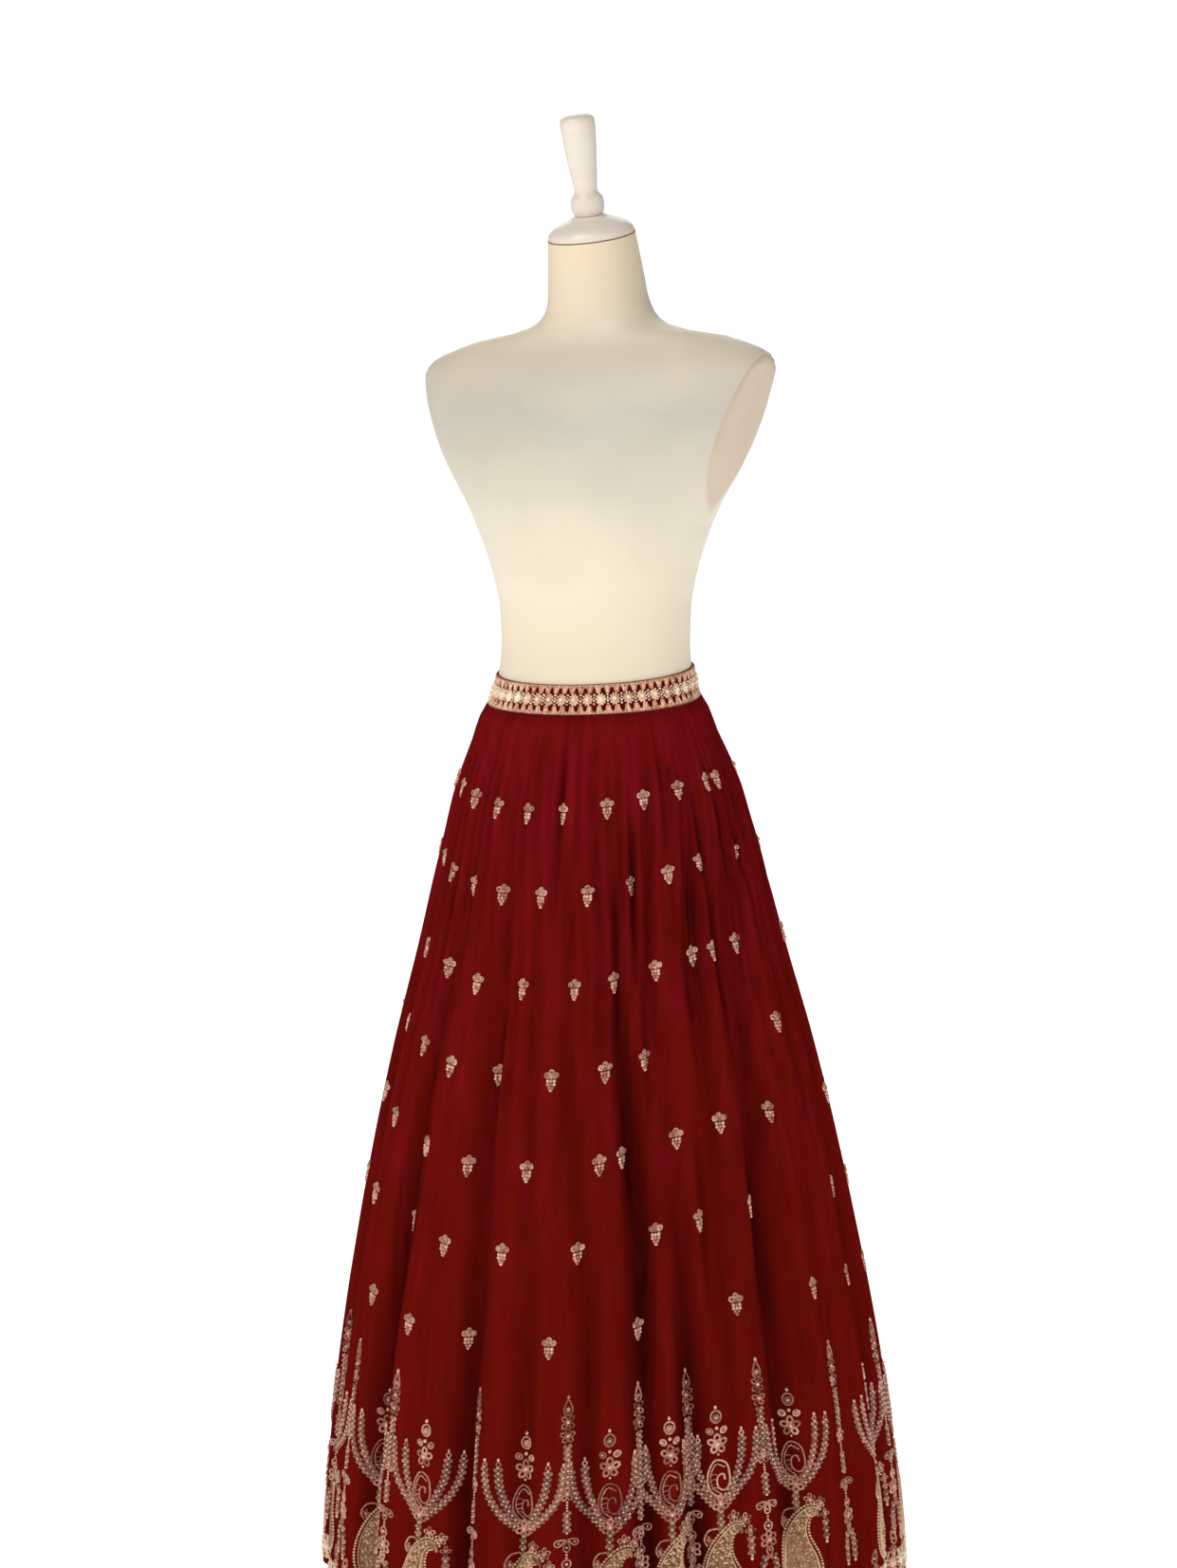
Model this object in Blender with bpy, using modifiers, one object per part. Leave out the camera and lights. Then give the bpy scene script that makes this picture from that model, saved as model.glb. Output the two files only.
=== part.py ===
"""Gathered lehenga skirt, worn by a limbless dress form on a round stand.

Metres, +Z up. The form faces -Y, its left side is +X, and the stand's underside is at z = 0.
An azimuth is measured in degrees from the centre front (-Y) towards the wearer's left (+X).
"""

import math

import bmesh
import bpy
import numpy as np

GAP = 0.0003

# Waistband: a shaped strip that dips at the front.
SEAM_FRONT_HEIGHT = 1.0413
BAND_HEIGHT = 0.0338
BAND_TILT = 0.0155
BAND_THICKNESS = 0.004
BAND_STONES = 44
STONE_STEPS = 3
STONE_RELIEF = 0.0016
PIPING_RELIEF = 0.0009
BACK_SLIT = 0.0006
SEAM_DEPTH = 0.1
TAB_HALF_ANGLE = 8.0
TAB_THICKNESS = 0.0016

# Skirt: four gathered widths, joined in the bottoms of folds.
CLOTH = 0.002
HEM_FRONT_HEIGHT = 0.012
TOP_TUCK = 0.0005
WAIST_FADE = 0.12
LIFT_FADE = 0.25
LIFT_START = 10
LIFT_SPAN_TOP = 80
LIFT_SPAN_LOW = 50
FOLD_DROPS = (0.05, 0.3, 0.65)
DEPTH_DROPS = (0.0, 0.1, 0.25, 0.45, 0.8, 1.0)
WAIST_DEPTH = 0.8
HEM_DEEPER = 1.1
SECOND_WIDTH = 1.5
SECOND_FADES_FROM = 0.06
SECOND_VARIES = 0.3
SECOND_STEP = 0.62
SECOND_FADE = 0.3
COLUMNS_PER_FOLD = 6
PANEL_ROWS = (0.0, 0.03, 0.075, 0.15, 0.25, 0.35, 0.45, 0.6, 0.8, 1.0)

# Dress form and stand.
TORSO_COLUMNS = 36
WAIST_RINGS = (1.02, 1.03, 1.05, 1.06, 1.07, 1.09, 1.10, 1.11)
ARM_PLATE_TOP = 0.206
ARM_PLATE_HEIGHT = 1.42
ARM_PLATE_SLANT = 0.39
ARM_PLATE_ROUNDING = 0.004
ARM_PLATE_BOTTOM = 1.25
NECK_TILT = 16.0
TURNED_STEPS = 24
POLE_RADIUS = 0.014
COLLAR_RADIUS = 0.026
COLLAR_HEIGHT = 0.035
BASE_RADIUS = 0.175
BASE_THICKNESS = 0.012
SOCKET_RADIUS = 0.024
SOCKET_HEIGHT = 0.045
FORM_BOTTOM = 0.800

# height, half_width, mid, front, back, tilt: one ring of the form for each row, bottom to top.
FORM_RINGS = np.array([
    (0.800, 0.150, 0.005, 0.102, 0.112, 0),
    (0.850, 0.158, 0.006, 0.106, 0.118, 0),
    (0.900, 0.156, 0.006, 0.104, 0.115, 0),
    (0.950, 0.1500, 0.004, 0.103, 0.110, 0),
    (1.000, 0.1410, 0.002, 0.102, 0.104, 0),
    (1.040, 0.1305, 0.000, 0.1015, 0.1015, 0),
    (1.080, 0.1165, 0.000, 0.0925, 0.0915, 0),
    (1.120, 0.1125, 0.000, 0.0885, 0.0860, 0),
    (1.160, 0.1140, 0.000, 0.0925, 0.0860, 0),
    (1.200, 0.1210, 0.000, 0.1050, 0.0890, 0),
    (1.240, 0.1340, 0.000, 0.1190, 0.0950, 0),
    (1.280, 0.1530, 0.000, 0.1270, 0.1005, 0),
    (1.320, 0.1820, 0.000, 0.1220, 0.1040, 0),
    (1.360, 0.2100, 0.000, 0.1080, 0.1030, 0),
    (1.400, 0.2280, 0.000, 0.0910, 0.0960, 0),
    (1.425, 0.2310, 0.003, 0.0790, 0.0880, 0),
    (1.445, 0.2120, 0.006, 0.0660, 0.0760, 0),
    (1.457, 0.1840, 0.008, 0.0580, 0.0670, 0),
    (1.467, 0.1500, 0.009, 0.0540, 0.0610, 0),
    (1.474, 0.1060, 0.010, 0.0520, 0.0565, 0),
    (1.483, 0.0780, 0.010, 0.0520, 0.0540, 2),
    (1.496, 0.0645, 0.009, 0.0530, 0.0540, 4),
    (1.512, 0.0580, 0.006, 0.0540, 0.0540, 7),
    (1.535, 0.0550, 0.001, 0.0530, 0.0530, 10),
    (1.560, 0.0520, -0.005, 0.0505, 0.0505, 13),
    (1.580, 0.0497, -0.010, 0.0478, 0.0478, 16),
])

# drop, half_width, depth_share, back_shift: the skirt's outline, from the waist seam (0) to the hem (1).
SKIRT_RINGS = np.array([
    (0.0, 0.1375, 0.795, 0.000),
    (0.06, 0.1600, 0.825, 0.002),
    (0.1, 0.1710, 0.845, 0.004),
    (0.2, 0.1935, 0.880, 0.009),
    (0.3, 0.2170, 0.910, 0.014),
    (0.4, 0.2437, 0.940, 0.019),
    (0.5, 0.2670, 0.962, 0.025),
    (0.6, 0.2882, 0.980, 0.030),
    (0.7, 0.3075, 0.992, 0.035),
    (0.8, 0.3230, 1.003, 0.040),
    (0.9, 0.3343, 1.014, 0.045),
    (1.0, 0.3420, 1.024, 0.050),
])

# drop, lift: how much higher the cloth hangs at the sides and back than at the front.
SIDE_LIFT = np.array([(0.0, 0.025), (0.1, 0.034), (0.25, 0.044), (0.5, 0.044), (0.65, 0.036), (1.0, 0.030)])

# drop, depth in millimetres: a second fold between two main ones.
SECOND_DEPTH = np.array([(0.0, 0.7), (0.05, 2.4), (0.12, 4.5), (0.3, 5.0), (1.0, 5.0)])

# top, mid and low azimuth; depth in millimetres at a tenth, a quarter, 45% and 80% down; width.
FOLDS = np.array([
    (-2, 5, 9, 4, 6, 7, 12, 2.6),
    (9, 15.5, 22, 4, 6, 10, 14, 2.8),
    (21.5, 25, 28.5, 6, 10, 3, 1, 2.5),
    (33, 31, 34, 3, 6, 24, 22, 3.2),
    (43, 39, 38.5, 6, 7, 2, 0, 2.4),
    (47, 42.5, 43.5, 1, 5, 9, 26, 2.8),
    (54, 48.5, 48, 5, 4, 0, 0, 2.4),
    (64, 56, 52, 6, 16, 9, 5, 3.4),
    (74, 63.5, 57.5, 4, 5, 4, 2, 2.4),
    (85, 70, 64, 5, 9, 18, 20, 3.2),
    (93, 77, 71, 5, 9, 3, 2, 2.8),
    (101, 90, 81, 4, 6, 5, 7, 3.6),
    (110, 103, 97, 6, 9, 8, 12, 3.8),
    (122, 118, 113, 4, 6, 4, 4, 2.6),
    (133, 131, 128, 5, 10, 18, 24, 3.4),
    (146, 145, 143, 5, 7, 4, 5, 2.8),
    (158, 158, 157, 4, 10, 17, 28, 3.6),
    (170, 170, 171, 5, 6, 3, 3, 2.6),
    (182, 182, 182, 4, 9, 18, 24, 3.4),
    (194, 193, 192, 5, 8, 5, 5, 2.8),
    (207, 206, 204, 3, 9, 17, 28, 3.6),
    (219, 218, 216, 6, 6, 2, 2, 2.6),
    (232, 230, 228, 4, 10, 18, 25, 3.4),
    (244, 243, 241, 5, 8, 4, 4, 2.8),
    (257, 255, 253, 3, 9, 16, 28, 3.6),
    (268, 268, 266, 6, 6, 3, 2, 2.6),
    (281, 280, 279, 4, 9, 18, 23, 3.4),
    (292, 294, 292, 5, 8, 4, 6, 2.8),
    (304, 306, 307, 3, 9, 15, 27, 3.6),
    (315, 317, 318, 6, 7, 3, 2, 2.6),
    (327, 329, 330, 4, 10, 18, 25, 3.4),
    (337, 340, 343, 5, 4, 1, 3, 2.6),
    (348, 352, 356, 5, 9, 15, 22, 3.4),
])

# The first and last fold of each width, as rows of FOLDS; the front width passes the table's end.
PANELS = {
    "skirt_front": (28, 40),
    "skirt_left": (7, 14),
    "skirt_back": (14, 22),
    "skirt_right": (22, 28),
}

# radius, height: turned outlines on the neck's axis, outer side from top to bottom.
CAP_OUTLINE = (
    (0.0, 0.0235), (0.0185, 0.0235), (0.0215, 0.0212), (0.031, 0.0178), (0.0405, 0.0135),
    (0.0462, 0.0088), (0.0488, 0.0045), (0.0492, 0.0), (0.0, 0.0),
)
FINIAL_OUTLINE = (
    (0.0, 0.1130), (0.0120, 0.1127), (0.0178, 0.1098), (0.0196, 0.1040), (0.0190, 0.0890), (0.0168, 0.0640),
    (0.0142, 0.0400), (0.0130, 0.0285), (0.0140, 0.0245), (0.0176, 0.0200), (0.0188, 0.0125),
    (0.0180, 0.0055), (0.0158, 0.0), (0.0, 0.0),
)

# name: colour (linear), roughness, metallic
MATERIALS = {
    "red_georgette": ((0.155, 0.006, 0.008), 0.75, 0.0),
    "gold_beadwork": ((0.55, 0.30, 0.17), 0.45, 0.3),
    "cream_shell": ((0.78, 0.70, 0.56), 0.45, 0.0),
    "white_lacquer": ((0.82, 0.78, 0.71), 0.35, 0.0),
    "white_enamel": ((0.70, 0.67, 0.61), 0.4, 0.0),
}


def curve(table, column, x):
    """A smooth curve through one column of a table, with no overshoot, read at x."""
    xs, ys = table[:, 0], table[:, column]
    x = np.clip(x, xs[0], xs[-1])
    slope = np.diff(ys) / np.diff(xs)
    product = slope[1:] * slope[:-1]
    total = slope[1:] + slope[:-1]
    inner = np.where(product > 0, 2 * product / np.where(total == 0, 1, total), 0)
    tangent = np.concatenate([slope[:1], inner, slope[-1:]])
    i = np.clip(np.searchsorted(xs, x, side="right") - 1, 0, len(xs) - 2)
    step = xs[i + 1] - xs[i]
    s = (x - xs[i]) / step
    return (
        ys[i] * (1 + 2 * s) * (1 - s) ** 2
        + ys[i + 1] * (3 - 2 * s) * s**2
        + step * (tangent[i] * s * (1 - s) ** 2 - tangent[i + 1] * (1 - s) * s**2)
    )


def ease(x):
    """0 below 0, 1 above 1, smooth between."""
    x = np.clip(x, 0, 1)
    return x * x * (3 - 2 * x)


def form_point(azimuth, height, outward=0.0):
    """A point of the dress form's surface, moved level and outward; the height is its ring's."""
    a = np.radians(azimuth)
    half_width, mid, front, back, tilt = (curve(FORM_RINGS, c, height) for c in (1, 2, 3, 4, 5))
    x = half_width * np.sin(a)
    # A slanted plate closes each arm: the width stops at it, with a small rounding.
    plate = ARM_PLATE_TOP - (ARM_PLATE_HEIGHT - height) * ARM_PLATE_SLANT
    r = ARM_PLATE_ROUNDING
    stopped = -r * np.logaddexp(-np.abs(x) / r, -plate / r)
    x = np.where(height > ARM_PLATE_BOTTOM, np.sign(x) * stopped, x)
    y = mid - np.where(np.cos(a) > 0, front, back) * np.cos(a)
    z = height + np.tan(np.radians(tilt)) * (y - mid)
    return np.stack([x + outward * np.sin(a), y - outward * np.cos(a), z + 0 * x], axis=-1)


def band_height(azimuth, share):
    """The height of a line along the waistband: share 0 is the skirt seam, 1 the top edge."""
    return SEAM_FRONT_HEIGHT + BAND_HEIGHT * share + BAND_TILT * (1 - np.cos(np.radians(azimuth)))


def band_point(azimuth, share, outward):
    return form_point(azimuth, band_height(azimuth, share), outward)


def fold_azimuths(drop):
    """Where each main fold lies at a drop."""
    top, mid, low = FOLDS[:, :3].T
    first, second, third = FOLD_DROPS
    to_mid = ease((drop - first) / (second - first))
    to_low = ease((drop - second) / (third - second))
    return top + (mid - top) * to_mid + (low - mid) * to_low


def fold_depths(drop):
    """How deep each main fold is at a drop, in metres."""
    waist = np.full((len(FOLDS), 1), WAIST_DEPTH)
    depths = np.hstack([waist, FOLDS[:, 3:7], FOLDS[:, 6:7] * HEM_DEEPER])
    step = min(int(np.searchsorted(DEPTH_DROPS, drop, side="right")) - 1, len(DEPTH_DROPS) - 2)
    share = (drop - DEPTH_DROPS[step]) / (DEPTH_DROPS[step + 1] - DEPTH_DROPS[step])
    return (depths[:, step] + (depths[:, step + 1] - depths[:, step]) * ease(share)) / 1000


def azimuth_at(fold, drop):
    """The azimuth of a place counted in folds: 3.5 is midway between folds 3 and 4."""
    lines = fold_azimuths(drop)
    count = len(lines)
    wide = np.concatenate([lines - 360, lines, lines + 360])
    return np.interp(fold + count, np.arange(3 * count), wide)


def troughs(azimuth, drop):
    """How far the folds press the cloth inwards at one drop."""
    lines = fold_azimuths(drop)
    between = lines + (np.roll(lines, -1) - lines) % 360 / 2
    # A second fold runs down from the gathers between each two main ones, and fades out.
    fades_from = SECOND_FADES_FROM + SECOND_VARIES * (np.arange(len(lines)) * SECOND_STEP % 1)
    second = curve(SECOND_DEPTH, 1, drop) / 1000 * (1 - ease((drop - fades_from) / SECOND_FADE))
    inward = np.zeros_like(azimuth)
    for centres, depths, widths in (
        (lines, fold_depths(drop), FOLDS[:, 7]),
        (between, second, SECOND_WIDTH),
    ):
        away = (azimuth[:, None] - centres + 180) % 360 - 180
        inward += (depths * np.exp(-((away / widths) ** 2))).sum(axis=1)
    return inward


def skirt_points(azimuth, drop):
    """Points of the cloth's outer side along one line round the skirt."""
    a = np.radians(azimuth)
    half_width, share, shift = (curve(SKIRT_RINGS, c, drop) for c in (1, 2, 3))
    inward = troughs(azimuth, drop)
    x = (half_width - inward) * np.sin(a)
    y = shift - (half_width * share - inward) * np.cos(a)
    # The top edge follows the waistband, and the difference fades out below it.
    seam = band_point(azimuth, 0.0, GAP + BAND_THICKNESS - TOP_TUCK)
    top_width, top_share = SKIRT_RINGS[0, 1:3]
    follow = 1 - ease(drop / WAIST_FADE)
    x += (seam[:, 0] - top_width * np.sin(a)) * follow
    y += (seam[:, 1] + top_width * top_share * np.cos(a)) * follow
    span = LIFT_SPAN_TOP + (LIFT_SPAN_LOW - LIFT_SPAN_TOP) * ease(drop / FOLD_DROPS[2])
    side = ease((np.abs((azimuth + 180) % 360 - 180) - LIFT_START) / span)
    settle = ease(drop / LIFT_FADE)
    lift = BAND_TILT * (1 - np.cos(a)) * (1 - settle) + curve(SIDE_LIFT, 1, drop) * side * settle
    z = SEAM_FRONT_HEIGHT - GAP + (HEM_FRONT_HEIGHT - SEAM_FRONT_HEIGHT) * drop + lift
    return np.stack([x, y, z], axis=-1)


def new_object(name, mesh, material, collection):
    made = bpy.data.objects.new(name, mesh)
    mesh.materials.append(material)
    collection.objects.link(made)
    return made


def grid_faces(bm, rows, closed=False):
    """Quads between rows of vertices; closed joins each row's ends."""
    count = len(rows[0])
    for low, high in zip(rows, rows[1:]):
        for i in range(count if closed else count - 1):
            j = (i + 1) % count
            bm.faces.new((low[i], low[j], high[j], high[i]))


def mesh_of(name, bm):
    bmesh.ops.recalc_face_normals(bm, faces=bm.faces)
    mesh = bpy.data.meshes.new(name)
    bm.to_mesh(mesh)
    bm.free()
    mesh.shade_smooth()
    mesh.set_sharp_from_angle(angle=math.radians(50))
    return mesh


def loft(name, rings):
    """A closed solid through closed rings of points, with flat ends."""
    bm = bmesh.new()
    rows = [[bm.verts.new(p) for p in ring] for ring in rings]
    grid_faces(bm, rows, closed=True)
    bm.faces.new(rows[0][::-1])
    bm.faces.new(rows[-1])
    return mesh_of(name, bm)


def make_panel(name, first, last, material, collection):
    """One width of the skirt: an open surface with the cloth's thickness inwards."""
    folds = np.linspace(first, last, (last - first) * COLUMNS_PER_FOLD + 1)
    bm = bmesh.new()
    rows = []
    for drop in PANEL_ROWS:
        azimuth = azimuth_at(folds, drop)
        inset = math.degrees(GAP / 2 / curve(SKIRT_RINGS, 1, drop))
        azimuth[0] += inset
        azimuth[-1] -= inset
        rows.append([bm.verts.new(p) for p in skirt_points(azimuth, drop)])
    grid_faces(bm, rows[::-1])
    mesh = bpy.data.meshes.new(name)
    bm.to_mesh(mesh)
    bm.free()
    mesh.shade_smooth()
    panel = new_object(name, mesh, material, collection)
    wall = panel.modifiers.new("cloth", "SOLIDIFY")
    wall.thickness = CLOTH
    wall.offset = -1
    return panel


def make_waistband(material, collection):
    """A strip round the waist: piped edges and a row of raised stones over a plain inside."""
    half_slit = math.degrees(BACK_SLIT / 2 / SEAM_DEPTH)
    outline = (
        (0.0, 0.0), (0.06, PIPING_RELIEF), (0.13, 0.0), (0.31, 0.0), (0.4, STONE_RELIEF),
        (0.6, STONE_RELIEF), (0.69, 0.0), (0.87, 0.0), (0.94, PIPING_RELIEF), (1.0, 0.0),
    )
    sections = []
    columns = STONE_STEPS * BAND_STONES + 1
    for i, azimuth in enumerate(np.linspace(half_slit - 180, 180 - half_slit, columns)):
        section = [band_point(azimuth, share, GAP) for share in (1.0, 0.66, 0.33, 0.0)]
        for share, relief in outline:
            between_stones = relief == STONE_RELIEF and i % STONE_STEPS == 0
            rise = 0.0 if between_stones else relief
            section.append(band_point(azimuth, share, GAP + BAND_THICKNESS + rise))
        sections.append(section)
    return new_object("waistband", loft("waistband", sections), material, collection)


def make_tab(material, collection):
    """The waistband's lapped end, over the slit at the centre back."""
    under = 2 * GAP + BAND_THICKNESS + STONE_RELIEF
    sections = []
    for azimuth in np.linspace(180 - TAB_HALF_ANGLE, 180 + TAB_HALF_ANGLE, 9):
        corners = ((1.0, under), (0.0, under), (0.0, under + TAB_THICKNESS), (1.0, under + TAB_THICKNESS))
        sections.append([band_point(azimuth, share, outward) for share, outward in corners])
    return new_object("waistband_tab", loft("waistband_tab", sections), material, collection)


def make_form(material, collection):
    angles = np.linspace(0, 360, TORSO_COLUMNS, endpoint=False)
    heights = np.union1d(FORM_RINGS[:, 0], WAIST_RINGS)
    rings = [form_point(angles, height) for height in heights]
    return new_object("form_torso", loft("form_torso", rings), material, collection)


def turned(name, outline, material, collection, location=(0, 0, 0), tilt=0.0):
    """A turned solid: its outline screwed round its own axis, which leans forward by tilt."""
    bm = bmesh.new()
    points = [bm.verts.new((radius, 0, height)) for radius, height in outline]
    for a, b in zip(points, points[1:]):
        bm.edges.new((a, b))
    mesh = bpy.data.meshes.new(name)
    bm.to_mesh(mesh)
    bm.free()
    made = new_object(name, mesh, material, collection)
    screw = made.modifiers.new("turn", "SCREW")
    screw.steps = screw.render_steps = TURNED_STEPS
    screw.use_merge_vertices = True
    screw.merge_threshold = 0.0001
    made.location = location
    made.rotation_euler = (math.radians(tilt), 0, 0)
    return made


def make_cap_and_finial(material, collection):
    """The turned block on the neck and the handle above it, square to the neck's top."""
    top = FORM_RINGS[-1]
    lean = math.radians(NECK_TILT)
    axis = np.array([0, -math.sin(lean), math.cos(lean)])
    neck_top = np.array([0, top[2], top[0]])
    cap_rise = CAP_OUTLINE[0][1]
    turned("neck_cap", CAP_OUTLINE, material, collection, neck_top + axis * GAP, NECK_TILT)
    turned("finial", FINIAL_OUTLINE, material, collection, neck_top + axis * (cap_rise + 2 * GAP), NECK_TILT)


def make_stand(material, collection):
    """A round base with a socket, a pole, and a collar under the form."""
    socket_top = BASE_THICKNESS + SOCKET_HEIGHT
    base_outline = (
        (0.0, socket_top), (SOCKET_RADIUS * 0.8, socket_top), (SOCKET_RADIUS, socket_top - 0.01),
        (SOCKET_RADIUS * 1.25, BASE_THICKNESS + 0.004), (SOCKET_RADIUS * 1.6, BASE_THICKNESS),
        (BASE_RADIUS - 0.006, BASE_THICKNESS), (BASE_RADIUS, BASE_THICKNESS - 0.006),
        (BASE_RADIUS, 0.0), (0.0, 0.0),
    )
    turned("stand_base", base_outline, material, collection)
    collar_bottom = FORM_BOTTOM - GAP - COLLAR_HEIGHT
    pole_length = collar_bottom - GAP - (socket_top + GAP)
    for name, radius, bottom, length in (
        ("stand_pole", POLE_RADIUS, socket_top + GAP, pole_length),
        ("stand_collar", COLLAR_RADIUS, collar_bottom, COLLAR_HEIGHT),
    ):
        outline = ((0.0, length), (radius, length), (radius, 0.0), (0.0, 0.0))
        turned(name, outline, material, collection, (0, 0, bottom))


def make_materials():
    made = {}
    for name, (colour, roughness, metallic) in MATERIALS.items():
        material = bpy.data.materials.new(name)
        material.use_nodes = True
        shader = material.node_tree.nodes["Principled BSDF"]
        shader.inputs["Base Color"].default_value = (*colour, 1)
        shader.inputs["Roughness"].default_value = roughness
        shader.inputs["Metallic"].default_value = metallic
        made[name] = material
    return made


def main():
    for old in list(bpy.data.objects):
        bpy.data.objects.remove(old)
    collection = bpy.data.collections.new("lehenga_skirt")
    bpy.context.scene.collection.children.link(collection)
    materials = make_materials()
    for name, (first, last) in PANELS.items():
        make_panel(name, first, last, materials["red_georgette"], collection)
    make_waistband(materials["gold_beadwork"], collection)
    make_tab(materials["red_georgette"], collection)
    make_form(materials["cream_shell"], collection)
    make_cap_and_finial(materials["white_lacquer"], collection)
    make_stand(materials["white_enamel"], collection)


main()
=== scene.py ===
"""The looks of a gathered lehenga skirt on a dress form: cloth, embroidery, form, stand, light and camera.

Metres, +Z up. The form faces -Y and its left side is +X. An azimuth is in degrees from the centre front
towards the form's left. A drop runs down the skirt's cloth: 0 at the waist seam and 1 at the hem.
"""

import math

import bpy
import numpy as np
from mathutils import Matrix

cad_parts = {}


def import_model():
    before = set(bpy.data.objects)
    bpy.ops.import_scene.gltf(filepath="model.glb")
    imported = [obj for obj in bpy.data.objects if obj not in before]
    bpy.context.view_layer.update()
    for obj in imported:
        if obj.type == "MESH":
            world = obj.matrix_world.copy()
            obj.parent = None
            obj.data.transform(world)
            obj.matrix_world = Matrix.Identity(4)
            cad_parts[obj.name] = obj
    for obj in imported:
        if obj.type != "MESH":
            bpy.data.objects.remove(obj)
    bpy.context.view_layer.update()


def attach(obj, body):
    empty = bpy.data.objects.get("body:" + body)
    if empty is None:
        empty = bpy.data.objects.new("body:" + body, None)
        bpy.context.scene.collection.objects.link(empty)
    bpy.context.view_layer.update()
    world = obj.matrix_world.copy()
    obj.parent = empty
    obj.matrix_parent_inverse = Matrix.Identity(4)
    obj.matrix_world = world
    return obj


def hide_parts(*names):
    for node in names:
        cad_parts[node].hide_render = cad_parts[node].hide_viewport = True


# Millimetres in a metre.
A_METRE = 1000.0

# Camera, in metres and degrees, its lens in millimetres, and the picture's own pixels.
PICTURE_HEIGHT = 1653
CAMERA_AZIMUTH = 27.0
CAMERA_DISTANCE = 3.8
CAMERA_HEIGHT = 1.23
CAMERA_DOWN = 4.1
LENS = 76.2
SENSOR = 36.0
AXIS_OFFSET = 7.5

# Waistband, as on the solid below it.
GAP = 0.0003
SEAM_FRONT_HEIGHT = 1.0413
BAND_HEIGHT = 0.0338
BAND_TILT = 0.0155
BAND_THICKNESS = 0.004
BAND_CLOTH = 0.0016
BAND_UNITS = 21
RING_BEADS = 10
BEADS_END = 171.0
LAP_BEADS_HALF_ANGLE = 7.2
BAND_COLUMNS = 240
LAP_COLUMNS = 25
EDGING_WIDTH = 0.0021
EDGING_PROFILE = ((-1, -0.0002), (-0.6, 0.0011), (0, 0.0016), (0.6, 0.0011), (1, -0.0002))
EDGING_SHARES = (("waistband_top_edging", 0.955), ("waistband_seam_edging", 0.045))
EDGING_COLUMNS = 1440
EDGING_STITCHES = 720
EDGING_CLIMB = 1.5
EDGING_TINT = 0.36
TAB_HALF_ANGLE = 8.0
TAB_THICKNESS = 0.0012
BEADS_UNDER_LAP = 0.0036
LAP_OUTWARD = GAP + BAND_CLOTH + BEADS_UNDER_LAP + TAB_THICKNESS

# Skirt cloth.
CLOTH = 0.001
HEM_FRONT_HEIGHT = 0.012
TOP_TUCK = 0.0005
PUFF = 0.0030
PUFF_RISES = 0.01
PUFF_FADES_FROM = 0.015
PUFF_FADE = 0.035
WAIST_FADE = 0.12
LIFT_FADE = 0.25
LIFT_START = 10
LIFT_SPAN_TOP = 80
LIFT_SPAN_LOW = 50
FOLD_DROPS = (0.05, 0.3, 0.65)
DEPTH_DROPS = (0.0, 0.1, 0.25, 0.45, 0.8, 1.0)
WAIST_DEPTH = 0.8
HEM_DEEPER = 1.1
SECOND_WIDTH = 1.5
SECOND_FADES_FROM = 0.06
SECOND_VARIES = 0.3
SECOND_STEP = 0.62
SECOND_FADE = 0.3
CLOTH_COLUMNS = 540
CLOTH_ROWS = 84
ROWS_CROWD = 1.15
# Painted shade in the folds: the cloth's tint falls from the ridge's to the fold's, fully at these depths.
SHADE_DEPTH_WAIST = 0.009
SHADE_DEPTH_LOW = 0.024
RIDGE_TINT = 0.66
FOLD_SHADE_TINT = 0.16
BAND_TINT = 0.3
CREASES = 96
SEAM_FOLDS = (7, 14, 22, 28)
CREASE_SEED = 7
CREASE_STARTS_OVER = 0.12
CREASE_ENDS_OVER = 0.15
CREASE_AT_WAIST = 0.25
CREASE_GROWS = 8

# Embroidery and seams. Their layouts are in millimetres.
BEAD_RISE = 2.4
SEAM_TOP = 4
SEAM_OVER_HEM = 50
SEAM_WIDTH = 1.4
SEAM_RISE = 0.4
SEAM_TINT = 0.55
SEAM_POINTS = 150
SURFACE_STEP = 0.25
SURFACE_MARGIN = 60
SURFACE_ROWS = 260
BAND_ROWS = 24
STITCH_VARIES = 0.24
COPY_VARIES = 0.06
BORDER_SEED = 3
BORDER_TALL = 0.93
BORDER_LOWERED = 0.0084
BUTI_RISE_SPAN = 75
HEM_BAND_HEIGHT = 0.031
HEM_BAND_RISE = 0.006
HEM_UNITS = 68
HEM_ROW = -4

# Dress form and stand.
ARM_PLATE_TOP = 0.206
ARM_PLATE_HEIGHT = 1.42
ARM_PLATE_SLANT = 0.39
ARM_PLATE_ROUNDING = 0.004
ARM_PLATE_BOTTOM = 1.25
FORM_COLUMNS = 120
FORM_ROWS = 110
FORM_BOTTOM = 0.800
FORM_TOP = 1.580
NECK_TILT = 16.0
JOINT_COLUMNS = 96
TURNED_STEPS = 72
TURNED_MERGE = 0.00005
ROUNDED_STEPS = 6
POLE_RADIUS = 0.014
COLLAR_RADIUS = 0.026
COLLAR_HEIGHT = 0.035
BASE_RADIUS = 0.175
BASE_THICKNESS = 0.012
SOCKET_RADIUS = 0.024
SOCKET_HEIGHT = 0.045
SHARP_ANGLE = 50

# Materials and room.
NOISE_ROUGHNESS = 0.55
BUMP = 0.0006
SHADED_BROWNER_BELOW = 0.80
SHELL_TONES_FROM = 1.05
SHELL_TONES_RATE = 1.9
FLOOR_REACH = 14.0
FLOOR_BRIGHTENS_FROM = 0.4
LIGHTS_AIM = 0.95
ROOM_SEEN = 1.10
ROOM_LIGHT = 0.30

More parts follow.
